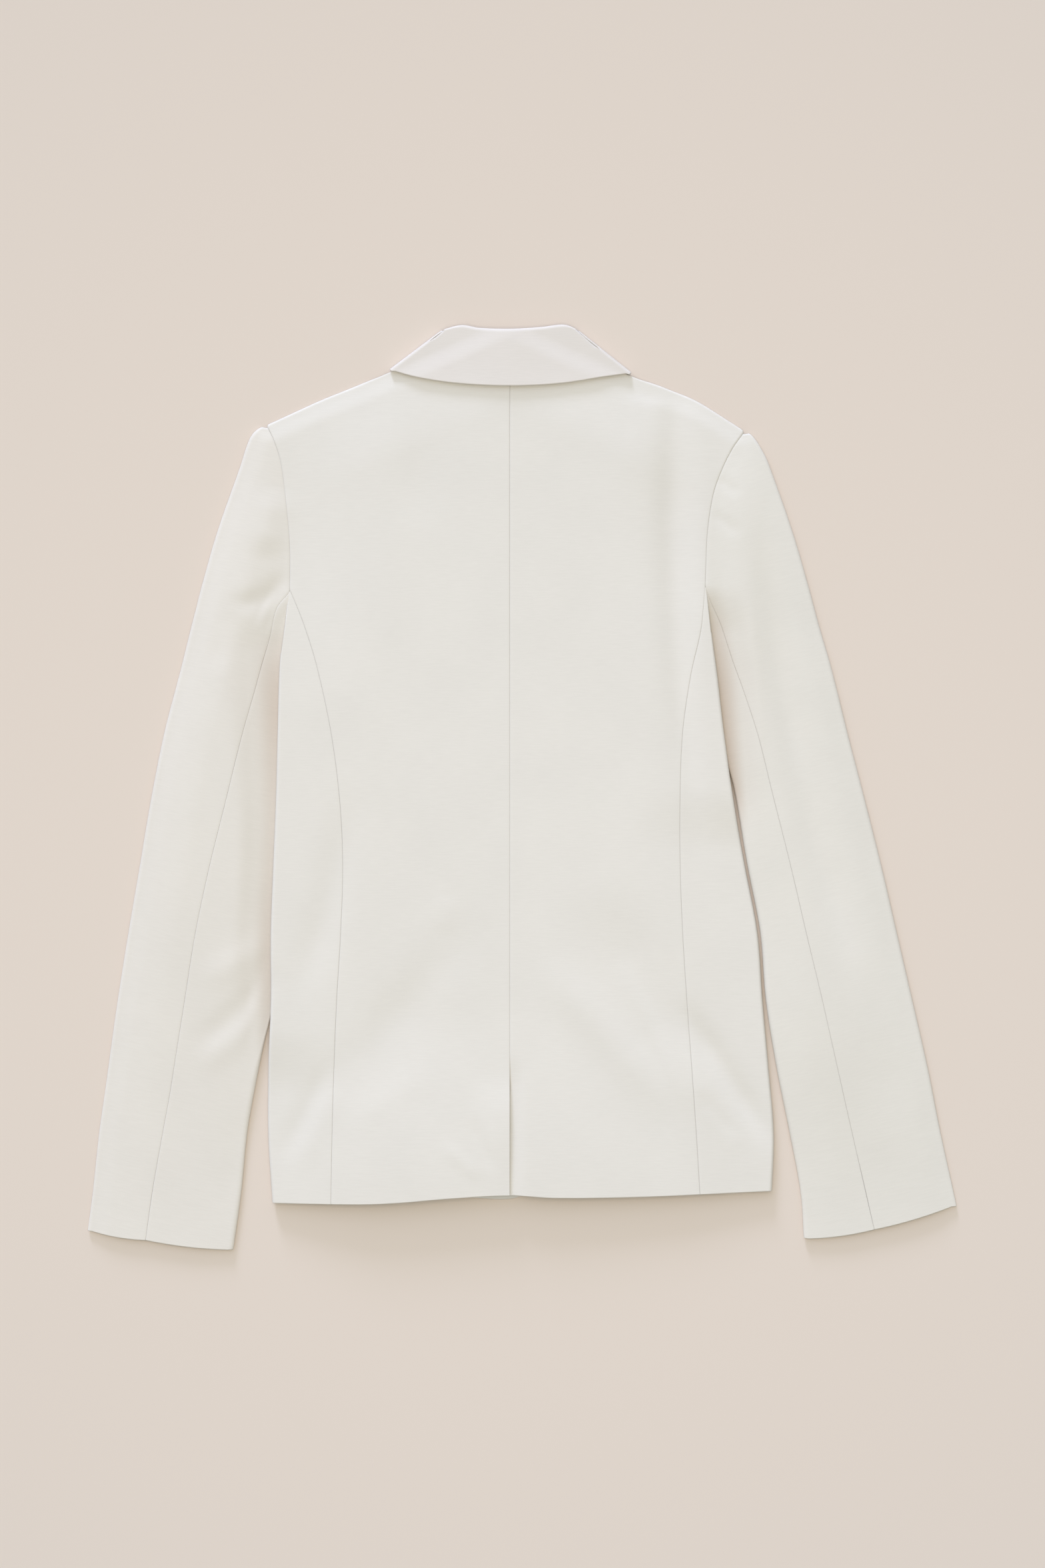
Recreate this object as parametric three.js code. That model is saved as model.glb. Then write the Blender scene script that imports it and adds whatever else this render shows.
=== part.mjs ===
// A blazer lying on its front, its back up, on a flat surface. Millimetres, +Z up, +Y towards the neck.
// Every piece is a wall of cloth: a grid of points through the middle of the cloth, thickened both ways.
import * as THREE from 'three';

// Cloth, and how its layers lie on each other
const wall = 1.5;
const seamGap = 0.3;
const layerGap = 0.33;
const pitch = wall + layerGap;
const layer = [0, 1, 2, 3, 4].map((count) => wall / 2 + count * pitch);
const foldRadius = pitch;
const taperWidth = 18;
const shoulderGap = 0.55;
const underarmInset = 0.4;
const tuckRoom = 0.5;

// Rows of each grid, counted from the hem or cuff
const lowerRows = 14;
const armholeRows = 8;
const ventRows = 3;
const breakRow = 8;
const backColumns = 8;
const edgeRowDrop = 6;

// Body
const centreBack = -9.5;
const hemLevel = -320;
const neckDrop = 6;
const ventTop = -232;
const ventUnderlap = 35;
const ventStep = 14;
const lapelBreak = -75;
const gorgeHeight = 300;
const bodyLiftReach = 20;
const bodyLiftFade = 40;

// Each side: its direction, the top of its side and sleeve seams, its underarm and its shoulder tip
const sides = {
  left: {
    dir: -1,
    junction: { x: -181, y: 153.5 },
    underarm: { x: -188.9, y: 104, sleeve: 94 },
    tip: { x: -198.9, y: 281.8 },
    neck: { x: -89.5, y: 330.5 },
    tuckEnd: -188,
    tuckGone: -240,
    roll: { top: -54, bottom: -13 },
    cuff: { outer: -346.3, seam: -353.6, inner: -360.7, front: -358 },
    sleeveTop: { outer: 280.5, junction: 162 },
    sections: [
      { y: 153.5, princess: -181, edge: -181, frontSeam: -181 },
      { y: 128, princess: -170.5, edge: -185, frontSeam: -173 },
      { y: 94, princess: -159.8, edge: -188.9, frontSeam: -163 },
      { y: 42, princess: -148.6, edge: -190.5, frontSeam: -157.5 },
      { y: -10, princess: -141.9, edge: -191.8, frontSeam: -158 },
      { y: -62, princess: -139.5, edge: -193.9, frontSeam: -160 },
      { y: -114, princess: -141.1, edge: -195.8, frontSeam: -162 },
      { y: -166, princess: -144.2, edge: -195.7, frontSeam: -163 },
      { y: -218, princess: -146.3, edge: -197.8, frontSeam: -164 },
      { y: -270, princess: -147.7, edge: -198.1, frontSeam: -164 },
      { y: -324, princess: -148.6, edge: -194.8, frontSeam: -163 },
    ],
    armhole: [
      { y: 153.5, x: -181 },
      { y: 185, x: -181 },
      { y: 205, x: -182.3 },
      { y: 223, x: -184.2 },
      { y: 241, x: -186.3 },
      { y: 256, x: -188.9 },
      { y: 270, x: -193.6 },
      { y: 282.5, x: -199.6 },
    ],
    shoulder: [
      { x: -199.6, y: 282.5 },
      { x: -180, y: 291.5 },
      { x: -157, y: 302 },
      { x: -131, y: 312.5 },
      { x: -105, y: 323.5 },
      { x: -89.5, y: 330.5 },
    ],
    sleeve: [
      { y: 282.5, outer: -199.6, backSeam: -181, inner: -181, frontSeam: -181 },
      { y: 278, outer: -208, backSeam: -181, inner: -181, frontSeam: -181 },
      { y: 270, outer: -213.5, backSeam: -181, inner: -181, frontSeam: -181 },
      { y: 250, outer: -220.1, backSeam: -181, inner: -181, frontSeam: -181 },
      { y: 198, outer: -238.3, backSeam: -181, inner: -181, frontSeam: -181 },
      { y: 153.5, outer: -251, backSeam: -181, inner: -181, frontSeam: -181 },
      { y: 140, outer: -254.4, backSeam: -191, inner: -183, frontSeam: -186 },
      { y: 118, outer: -260, backSeam: -196.5, inner: -186.6, frontSeam: -194 },
      { y: 94, outer: -265.9, backSeam: -203.5, inner: -189.5, frontSeam: -200 },
      { y: 78, outer: -270.1, backSeam: -207.8, inner: -185, frontSeam: -200 },
      { y: 42, outer: -279.4, backSeam: -217.8, inner: -178, frontSeam: -200 },
      { y: -10, outer: -289.8, backSeam: -230.5, inner: -174, frontSeam: -197 },
      { y: -62, outer: -298.6, backSeam: -243.5, inner: -176, frontSeam: -199 },
      { y: -114, outer: -307.5, backSeam: -254.6, inner: -183, frontSeam: -206 },
      { y: -166, outer: -315.8, backSeam: -263, inner: -193, frontSeam: -215 },
      { y: -202, outer: -320.9, backSeam: -268.8, inner: -201.9, frontSeam: -224 },
      { y: -239, outer: -326, backSeam: -274.7, inner: -209.4, frontSeam: -231 },
      { y: -270, outer: -330.4, backSeam: -280.4, inner: -214.7, frontSeam: -236 },
      { y: -316, outer: -335.4, backSeam: -288.6, inner: -219.3, frontSeam: -241 },
      { y: -361, outer: -341.4, backSeam: -294.8, inner: -225.6, frontSeam: -247 },
    ],
  },
  right: {
    dir: 1,
    junction: { x: 142.8, y: 157 },
    underarm: { x: 147.9, y: 120, sleeve: 112 },
    tip: { x: 173.4, y: 277 },
    neck: { x: 70.5, y: 328 },
    tuckEnd: 0,
    tuckGone: -50,
    roll: { top: 35, bottom: -6 },
    cuff: { outer: -327, seam: -345.3, inner: -352, front: -350 },
    sleeveTop: { outer: 275.5, junction: 166 },
    sections: [
      { y: 157, princess: 142.8, edge: 142.8, frontSeam: 142.8 },
      { y: 127, princess: 140.2, edge: 146.7, frontSeam: 138 },
      { y: 114, princess: 137.8, edge: 148.4, frontSeam: 133 },
      { y: 88, princess: 131.9, edge: 152, frontSeam: 127 },
      { y: 42, princess: 125.2, edge: 157.4, frontSeam: 124 },
      { y: -10, princess: 123.1, edge: 164.7, frontSeam: 131 },
      { y: -62, princess: 123.3, edge: 174, frontSeam: 140 },
      { y: -114, princess: 125.2, edge: 183.7, frontSeam: 149 },
      { y: -166, princess: 128.5, edge: 187.6, frontSeam: 153 },
      { y: -218, princess: 132.2, edge: 192.2, frontSeam: 157 },
      { y: -270, princess: 135.8, edge: 196.4, frontSeam: 161 },
      { y: -318, princess: 138.7, edge: 194.8, frontSeam: 160 },
    ],
    armhole: [
      { y: 157, x: 142.8 },
      { y: 176, x: 143.4 },
      { y: 198.6, x: 144.6 },
      { y: 222.6, x: 148 },
      { y: 238.7, x: 152.5 },
      { y: 262, x: 163.2 },
      { y: 277.6, x: 174 },
    ],
    shoulder: [
      { x: 174, y: 277.6 },
      { x: 160, y: 286.6 },
      { x: 135, y: 302 },
      { x: 111, y: 312 },
      { x: 87, y: 320.5 },
      { x: 70.5, y: 328 },
    ],
    sleeve: [
      { y: 277.7, outer: 174, backSeam: 142.8, inner: 142.8, frontSeam: 142.8 },
      { y: 273.5, outer: 180.3, backSeam: 142.8, inner: 142.8, frontSeam: 142.8 },
      { y: 260.5, outer: 188.6, backSeam: 142.8, inner: 142.8, frontSeam: 142.8 },
      { y: 250, outer: 193.3, backSeam: 142.8, inner: 142.8, frontSeam: 142.8 },
      { y: 198, outer: 211.5, backSeam: 142.8, inner: 142.8, frontSeam: 142.8 },
      { y: 157, outer: 223.5, backSeam: 142.8, inner: 142.8, frontSeam: 142.8 },
      { y: 127, outer: 231.5, backSeam: 155, inner: 147.2, frontSeam: 152 },
      { y: 112, outer: 235.9, backSeam: 160, inner: 149.3, frontSeam: 158 },
      { y: 97.5, outer: 240.2, backSeam: 164.7, inner: 148.4, frontSeam: 163 },
      { y: 73, outer: 246.5, backSeam: 173.5, inner: 150.6, frontSeam: 168.5 },
      { y: 42, outer: 254.1, backSeam: 183.4, inner: 154.5, frontSeam: 174 },
      { y: 20, outer: 259.8, backSeam: 189, inner: 159.5, frontSeam: 181 },
      { y: 0, outer: 265, backSeam: 193.8, inner: 165.2, frontSeam: 186 },
      { y: -62, outer: 280.6, backSeam: 209.3, inner: 176.1, frontSeam: 198 },
      { y: -114, outer: 292.6, backSeam: 221.4, inner: 186, frontSeam: 207 },
      { y: -166, outer: 304.6, backSeam: 233.8, inner: 190.3, frontSeam: 212 },
      { y: -218, outer: 316.5, backSeam: 245.6, inner: 198.5, frontSeam: 220 },
      { y: -270, outer: 326.9, backSeam: 257.5, inner: 209, frontSeam: 232 },
      { y: -316, outer: 337.2, backSeam: 268.3, inner: 217.5, frontSeam: 240 },
      { y: -352, outer: 344.9, backSeam: 276.5, inner: 220.1, frontSeam: 242 },
    ],
  },
};

// Hems along X: the back's, and the fronts' whose edge shows just below it near the centre
const backHem = [
  { x: -195, y: -324.3 },
  { x: -126, y: -324.6 },
  { x: -96, y: -323.3 },
  { x: -58, y: -320.1 },
  { x: -11, y: -317.6 },
  { x: 26, y: -319.6 },
  { x: 91, y: -319 },
  { x: 139, y: -317.2 },
  { x: 195, y: -315 },
];
const frontHem = [
  { x: -195, y: -321.5 },
  { x: -100, y: -320.5 },
  { x: -46, y: -320 },
  { x: -17, y: -321.6 },
  { x: -4, y: -320.4 },
  { x: 3, y: -317 },
  { x: 195, y: -313 },
];

// How far lapels and collar ends reach from the centre under the fronts
const lapelReach = [
  { y: 330, x: 96 },
  { y: 300, x: 98 },
  { y: 272, x: 104 },
  { y: 200, x: 92 },
  { y: 100, x: 68 },
  { y: 0, x: 38 },
  { y: -75, x: 10 },
];
const lapelEdge = [
  { y: 272, x: 100.5 },
  { y: 200, x: 88.5 },
  { y: 100, x: 64.5 },
  { y: 0, x: 34.5 },
  { y: -75, x: 7.5 },
];

// The two front edges below the break, where the right one laps over the left one
const frontEdges = {
  left: [
    { y: -75, x: -13 },
    { y: -100, x: -10.5 },
    { y: -145, x: 3 },
    { y: -320, x: 3 },
  ],
  right: [
    { y: -75, x: -6 },
    { y: -100, x: -8.5 },
    { y: -145, x: -22 },
    { y: -320, x: -22 },
  ],
};

// Collar: its rolled top edge and the edge of its fall, along X, then its corners on each side
const collarRoll = [
  { x: -63, y: 355.6 },
  { x: -47, y: 359.4 },
  { x: -34, y: 357.3 },
  { x: -10, y: 356.3 },
  { x: 16, y: 358 },
  { x: 33, y: 359.7 },
  { x: 44.5, y: 355.2 },
];
const collarFall = [
  { x: -103.5, y: 325.4 },
  { x: -83, y: 319.3 },
  { x: -50, y: 314.1 },
  { x: -9, y: 312 },
  { x: 30, y: 314.1 },
  { x: 63, y: 319.3 },
  { x: 85.5, y: 322.8 },
];
const collarEnds = {
  left: { roll: [-54, 303], fall: [-101, 284], seam: [-66, 305] },
  right: { roll: [35, 303], fall: [80, 282], seam: [47, 305] },
};
const collarPuff = 1.3;
const standNest = 2.1;
const standSeamGap = 1.6;

// Creases of the upper layer: from, to, half width and height, a trough where the height is negative
const creases = [
  { at: 'right back', x1: 105, y1: 300, x2: 113, y2: 30, width: 13, height: -1.3 },
  { at: 'right back ridge', x1: 131, y1: 250, x2: 131, y2: 110, width: 8, height: 0.7 },
  { at: 'waist left', x1: -54, y1: -104, x2: -132, y2: -208, width: 10, height: -1.2 },
  { at: 'waist left ridge', x1: -17, y1: -150, x2: -95, y2: -239, width: 12, height: 1.2 },
  { at: 'waist right', x1: 63, y1: -114, x2: 113, y2: -197, width: 9, height: -1.2 },
  { at: 'waist right ridge', x1: 82, y1: -124, x2: 123, y2: -197, width: 8, height: 1.2 },
  { at: 'hip right', x1: 134, y1: -166, x2: 180, y2: -260, width: 9, height: -1.1 },
  { at: 'hip right ridge', x1: 134, y1: -208, x2: 180, y2: -270, width: 9, height: 1 },
  { at: 'hip left', x1: -158, y1: -156, x2: -189, y2: -270, width: 9, height: -1 },
  { at: 'left armhole', x1: -200, y1: 245, x2: -195, y2: 190, width: 7, height: -0.8 },
  { at: 'left upper arm', x1: -221, y1: 156, x2: -236, y2: 94, width: 9, height: -1.1 },
  { at: 'left elbow', x1: -206, y1: -120, x2: -257, y2: -161, width: 8, height: 1.8 },
  { at: 'left elbow trough', x1: -206, y1: -140, x2: -252, y2: -192, width: 8, height: -1.2 },
  { at: 'left forearm', x1: -212, y1: -175, x2: -252, y2: -218, width: 9, height: 1.3 },
  { at: 'right sleeve', x1: 160, y1: 200, x2: 237, y2: -140, width: 12, height: -1.1 },
];

const lerp = THREE.MathUtils.lerp;

// 0 at the first limit, 1 at the second, soft at both
function ease(value, from, to) {
  const part = THREE.MathUtils.clamp((value - from) / (to - from), 0, 1);
  return part * part * (3 - 2 * part);
}

// A smooth curve through one column of a table, straight on past its ends
function curve(table, key, column) {
  const rows = [...table].sort((a, b) => a[key] - b[key]);
  const last = rows.length - 1;
  const slopes = rows.map((row, index) => {
    const before = rows[Math.max(index - 1, 0)];
    const after = rows[Math.min(index + 1, last)];
    return (after[column] - before[column]) / (after[key] - before[key]);
  });
  return (at) => {
    if (at <= rows[0][key]) {
      return rows[0][column] + slopes[0] * (at - rows[0][key]);
    }
    if (at >= rows[last][key]) {
      return rows[last][column] + slopes[last] * (at - rows[last][key]);
    }
    const index = rows.findIndex((row) => row[key] > at) - 1;
    const span = rows[index + 1][key] - rows[index][key];
    const part = (at - rows[index][key]) / span;
    const square = part * part;
    const cube = square * part;
    return (2 * cube - 3 * square + 1) * rows[index][column]
      + (cube - 2 * square + part) * span * slopes[index]
      + (3 * square - 2 * cube) * rows[index + 1][column]
      + (cube - square) * span * slopes[index + 1];
  };
}

const hemOfBack = curve(backHem, 'x', 'y');
const hemOfFront = curve(frontHem, 'x', 'y');
const reachOfLapel = curve(lapelReach, 'y', 'x');
const edgeOfLapel = curve(lapelEdge, 'y', 'x');
const rollOfCollar = curve(collarRoll, 'x', 'y');
const edgeOfFall = curve(collarFall, 'x', 'y');

for (const side of Object.values(sides)) {
  side.princess = curve(side.sections, 'y', 'princess');
  side.edge = curve(side.sections, 'y', 'edge');
  side.sideSeam = curve(side.sections, 'y', 'frontSeam');
  side.armholeLine = curve(side.armhole, 'y', 'x');
  side.shoulderLine = curve(side.shoulder, 'x', 'y');
  side.outer = curve(side.sleeve, 'y', 'outer');
  side.backSeam = curve(side.sleeve, 'y', 'backSeam');
  side.inner = curve(side.sleeve, 'y', 'inner');
  side.sleeveFrontSeam = curve(side.sleeve, 'y', 'frontSeam');
}
const sideAt = (x) => (x < centreBack ? sides.left : sides.right);

// Heights

function crease(x, y) {
  let height = 0;
  for (const fold of creases) {
    const along = new THREE.Vector2(fold.x2 - fold.x1, fold.y2 - fold.y1);
    const length = along.length();
    along.normalize();
    const part = ((x - fold.x1) * along.x + (y - fold.y1) * along.y) / length;
    const across = ((x - fold.x1) * along.y - (y - fold.y1) * along.x) / fold.width;
    const fade = ease(part, -0.25, 0.25) * ease(part, 1.25, 0.75);
    height += fold.height * fade * Math.exp(-across * across);
  }
  return height;
}

// How much the body is lifted over a tucked sleeve at this height of the garment, 0 to 1
function lift(side, y) {
  return ease(y, side.junction.y, side.underarm.y) * ease(y, side.tuckGone, side.tuckEnd);
}

function bodyLow(x, y) {
  const side = sideAt(x);
  const inside = (side.edge(y) - x) * side.dir;
  const near = ease(inside, bodyLiftReach + bodyLiftFade, bodyLiftReach);
  return layer[0] + (2 * pitch + tuckRoom) * lift(side, y) * near;
}

function bodyTop(x, y) {
  const side = sideAt(x);
  const lifted = lift(side, y);
  const inside = (side.edge(y) - x) * side.dir;
  const belowShoulder = side.shoulderLine(x) - y;
  const near = ease(inside, bodyLiftReach + bodyLiftFade, bodyLiftReach);
  const edgeTaper = y < side.underarm.y ? (1 - lifted) * ease(inside, taperWidth, 0) : 0;
  const shoulderTaper = ease(belowShoulder, taperWidth, 0);
  const raised = (pitch + tuckRoom) * lifted * near;
  return layer[3] - pitch * Math.max(edgeTaper, shoulderTaper) + raised + crease(x, y);
}

function sleeveTop(side, x, y) {
  const fromOuter = (side.outer(y) - x) * side.dir;
  const fromInner = (x - side.inner(y)) * side.dir;
  const sunk = lift(side, y);
  const taper = pitch * ease(fromOuter, taperWidth, 0);
  const sink = y < side.junction.y ? (2 * pitch - tuckRoom) * sunk * ease(fromInner, 42, 12) : 0;
  const innerTaper = y < side.underarm.y ? pitch * (1 - sunk) * ease(fromInner, taperWidth, 0) : 0;
  return layer[3] - taper - sink - innerTaper + crease(x, y) * (1 - sunk * ease(fromInner, 36, 22));
}

// The fronts lie on their own lapels and collar, and the left one on the edge of the right one
function frontLow(x, y) {
  const reach = reachOfLapel(Math.max(y, lapelBreak));
  const fromCentre = Math.abs(x - centreBack);
  const raise = ease(fromCentre, reach + 22, reach + 3) * ease(y, lapelBreak - 23, lapelBreak - 3);
  return Math.max(bodyLow(x, y), layer[0] + pitch * raise);
}

function leftFrontLow(x, y) {
  const rightEdge = curve(frontEdges.right, 'y', 'x')(y);
  const overlap = ease(x, rightEdge - 42, rightEdge - 15) * ease(y, lapelBreak - 5, lapelBreak - 22);
  return Math.max(frontLow(x, y), layer[0] + pitch * overlap);
}

// Grids of points

const point = (x, y, z) => new THREE.Vector3(x, y, z);

// A point whose cloth faces a known direction, used where a piece is folded
function facingPoint(x, y, z, facing) {
  const spot = point(x, y, z);
  spot.facing = facing.normalize();
  return spot;
}

// The direction in which a surface of known heights faces
function facingUp(heights, x, y) {
  const step = 0.5;
  const slopeX = (heights(x + step, y) - heights(x - step, y)) / (2 * step);
  const slopeY = (heights(x, y + step) - heights(x, y - step)) / (2 * step);
  return point(-slopeX, -slopeY, 1);
}

// Steps from 0 to 1
function steps(count) {
  return Array.from({ length: count + 1 }, (unused, index) => index / count);
}

// A flat net between four borders, each a list of points: bottom and top run as the columns do
function net(bottom, top, first, last) {
  const across = bottom.length - 1;
  const up = first.length - 1;
  return bottom.map((unusedPoint, column) => first.map((unusedRow, row) => {
    const u = column / across;
    const v = row / up;
    return ['x', 'y'].reduce((spot, axis) => {
      const ruled = (1 - v) * bottom[column][axis] + v * top[column][axis]
        + (1 - u) * first[row][axis] + u * last[row][axis];
      const corners = (1 - u) * (1 - v) * bottom[0][axis] + u * (1 - v) * bottom[across][axis]
        + (1 - u) * v * top[0][axis] + u * v * top[across][axis];
      spot[axis] = ruled - corners;
      return spot;
    }, {});
  }));
}

// Heights of the rows on the outer border of a back or front: up its long seam, then up the armhole
function outerBorder(side, seam, hem) {
  const low = steps(lowerRows).map((part) => lerp(hem, side.junction.y, part));
  const high = steps(armholeRows).slice(1).map((part) => lerp(side.junction.y, side.tip.y - foldRadius, part));
  const below = low.map((y, row) => ({ x: row === lowerRows ? side.junction.x : seam(y), y }));
  return below.concat(high.map((y) => ({ x: side.armholeLine(y), y })));
}

// Three more rows over the shoulder's fold. Up is 1 on the back and -1 on the front.
function overShoulder(side, spot, up, low, high) {
  const onShoulder = Math.abs(spot.x - centreBack) > Math.abs(side.neck.x - centreBack) - 1;
  const middle = (low + high) / 2;
  const half = (high - low) / 2;
  const least = Math.asin(Math.min(shoulderGap / half, 0.7));
  return [Math.PI / 4, least].map((angle) => {
    const part = angle / (Math.PI / 2);
    const rise = onShoulder ? foldRadius * Math.cos(angle) : (1 - part) * foldRadius;
    const z = onShoulder ? middle + up * half * Math.sin(angle) : (up > 0 ? high : low);
    const outward = onShoulder ? half * Math.cos(angle) : 0;
    return facingPoint(spot.x, spot.y + rise, z, point(0, outward, up * foldRadius * Math.sin(angle)));
  });
}

function seamCurve(side, x) {
  const fromCentre = Math.abs(x - centreBack) / Math.abs(side.neck.x - centreBack);
  return side.neck.y - neckDrop * (1 - Math.min(fromCentre, 1) ** 2);
}

// The upper border of a back: neckline, then shoulder
function backTopBorder(side, columns) {
  return columns.map((part) => {
    const x = lerp(centreBack, side.armholeLine(side.tip.y - foldRadius), part);
    const onNeck = Math.abs(x - centreBack) < Math.abs(side.neck.x - centreBack);
    const y = onNeck ? seamCurve(side, x) : side.shoulderLine(x) - wall / 2;
    return { x, y: y - foldRadius };
  });
}

function backPanel(side) {
  const rows = lowerRows + armholeRows;
  const outer = outerBorder(side, side.princess, hemOfBack(side.princess(hemLevel)));
  const columns = steps(backColumns);
  const top = backTopBorder(side, columns);
  const centreHem = hemOfBack(centreBack);
  const centre = Array.from({ length: rows + 1 }, (unused, row) => {
    const y = row <= ventRows
      ? lerp(centreHem, ventTop, row / ventRows)
      : lerp(ventTop, top[0].y, (row - ventRows) / (rows - ventRows));
    return { x: centreBack, y };
  });
  const bottom = columns.map((part) => {
    const x = lerp(centreBack, outer[0].x, part);
    return { x, y: hemOfBack(x) };
  });
  top[backColumns] = outer[rows];
  bottom[backColumns] = outer[0];
  const flat = net(bottom, top, centre, outer);
  return flat.map((line) => {
    const points = line.map((spot) => point(spot.x, spot.y, bodyTop(spot.x, spot.y)));
    const last = line[rows];
    return points.concat(overShoulder(side, last, 1, frontLow(last.x, last.y), bodyTop(last.x, last.y)));
  });
}

// The right back has the vent's underlap: extra columns that exist in the lowest rows only
function rightBack() {
  const side = sides.right;
  const panel = backPanel(side);
  const underlap = [1, 0.5].map((part) => panel[0].map((spot) => {
    return point(centreBack - part * ventUnderlap, spot.y, spot.z);
  }));
  const columns = [...underlap, ...panel];
  for (const line of columns) {
    for (const spot of line) {
      const near = ease(spot.x, centreBack + ventStep, centreBack) * ease(spot.y, ventTop + 25, ventTop - 5);
      spot.z -= pitch * near;
    }
  }
  const present = (column, row) => column >= underlap.length || row < ventRows;
  return wallOf(columns, present);
}

// One row of a folded piece: from a point above, round a fold, to a point below
function foldedRow(from, fold, to, inward, heights, counts) {
  const start = { x: fold.x + inward * heights.radius, y: fold.y };
  const high = steps(counts.above).map((part) => {
    const x = lerp(from.x, start.x, part);
    const y = lerp(from.y, start.y, part);
    return facingPoint(x, y, heights.above(x, y), facingUp(heights.above, x, y));
  });
  const low = steps(counts.below).map((part) => {
    const x = lerp(start.x, to.x, part);
    const y = lerp(start.y, to.y, part);
    return facingPoint(x, y, heights.below(x, y), facingUp(heights.below, x, y).negate());
  });
  const highZ = high[high.length - 1].z;
  const lowZ = low[0].z;
  const half = (highZ - lowZ) / 2;
  const arc = steps(counts.round).slice(1, -1).map((part) => {
    const angle = (0.5 - part) * Math.PI;
    return facingPoint(
      fold.x + inward * heights.radius * (1 - Math.cos(angle)),
      fold.y,
      (highZ + lowZ) / 2 + half * Math.sin(angle),
      point(-inward * half * Math.cos(angle), 0, heights.radius * Math.sin(angle)),
    );
  });
  return [...high, ...arc, ...low];
}

// Rows of a folded piece turned into columns of a grid
function columnsOf(rows) {
  return rows[0].map((unused, column) => rows.map((row) => row[column]));
}

// Heights of a folded edge's rows: level with the rows of its seam, then closer up to the underarm
function edgeRows(side, low, seamLow, underarm) {
  const levelRows = lowerRows - 2;
  const level = lerp(seamLow, side.junction.y, levelRows / lowerRows) - edgeRowDrop;
  return Array.from({ length: lowerRows + 1 }, (unused, row) => {
    const beyond = (row - levelRows) / (lowerRows - levelRows);
    return row <= levelRows
      ? lerp(low, level, row / levelRows)
      : underarm - (underarm - level) * (1 - beyond) ** 2;
  });
}

function sidePanel(side) {
  const hem = hemOfBack(side.princess(hemLevel));
  const folds = edgeRows(side, hemOfBack(side.edge(hemLevel)), hem, side.underarm.y);
  const rows = folds.map((fold, row) => {
    const above = lerp(hem, side.junction.y, row / lowerRows);
    const top = row === lowerRows;
    return foldedRow(
      { x: top ? side.junction.x : side.princess(above), y: above },
      { x: side.edge(fold) - side.dir * wall / 2, y: fold },
      { x: top ? side.junction.x : side.sideSeam(above), y: above },
      -side.dir,
      { radius: foldRadius, above: bodyTop, below: bodyLow },
      { above: 4, round: 4, below: 4 },
    );
  });
  return wallOf(columnsOf(rows), () => true, underarmInset);
}

// The rows of a sleeve's seams, the same ones for both of its pieces
function sleeveRows(side) {
  const inner = edgeRows(side, side.cuff.inner, side.cuff.seam, side.underarm.sleeve);
  const below = steps(lowerRows).map((part, row) => ({
    back: lerp(side.cuff.seam, side.junction.y, part),
    front: lerp(side.cuff.front, side.junction.y, part),
    outer: lerp(side.cuff.outer, side.sleeveTop.junction, part),
    inner: inner[row],
  }));
  const above = steps(armholeRows).slice(1).map((part) => {
    const y = lerp(side.junction.y, side.tip.y - foldRadius, part);
    return { back: y, front: y, outer: lerp(side.sleeveTop.junction, side.sleeveTop.outer, part) };
  });
  return { below, above };
}

function upperSleeve(side) {
  const { below, above } = sleeveRows(side);
  const heights = { radius: foldRadius, above: (x, y) => sleeveTop(side, x, y), below: () => layer[0] };
  const rows = [...below, ...above].map((row, index) => {
    const onArmhole = index >= lowerRows;
    const radius = Math.min(foldRadius, Math.abs(side.armholeLine(row.back) - side.outer(row.outer)) / 3);
    return foldedRow(
      { x: onArmhole ? side.armholeLine(row.back) : side.backSeam(row.back), y: row.back },
      { x: side.outer(row.outer) - side.dir * wall / 2, y: row.outer },
      { x: onArmhole ? side.armholeLine(row.front) : side.sleeveFrontSeam(row.front), y: row.front },
      -side.dir,
      { ...heights, radius: index > lowerRows ? radius : foldRadius },
      { above: 5, round: 4, below: 4 },
    );
  });
  return wallOf(columnsOf(rows));
}

function underSleeve(side) {
  const { below } = sleeveRows(side);
  const rows = below.map((row, index) => {
    const top = index === lowerRows;
    const sunk = lift(side, row.inner);
    return foldedRow(
      { x: top ? side.junction.x : side.backSeam(row.back), y: row.back },
      { x: side.inner(row.inner) + side.dir * wall / 2, y: row.inner },
      { x: top ? side.junction.x : side.sleeveFrontSeam(row.front), y: row.front },
      side.dir,
      {
        radius: lerp(foldRadius, (pitch + tuckRoom) / 2, sunk),
        above: (x, y) => sleeveTop(side, x, y),
        below: () => layer[0],
      },
      { above: 4, round: 5, below: 2 },
    );
  });
  return wallOf(columnsOf(rows), () => true, underarmInset);
}

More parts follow.
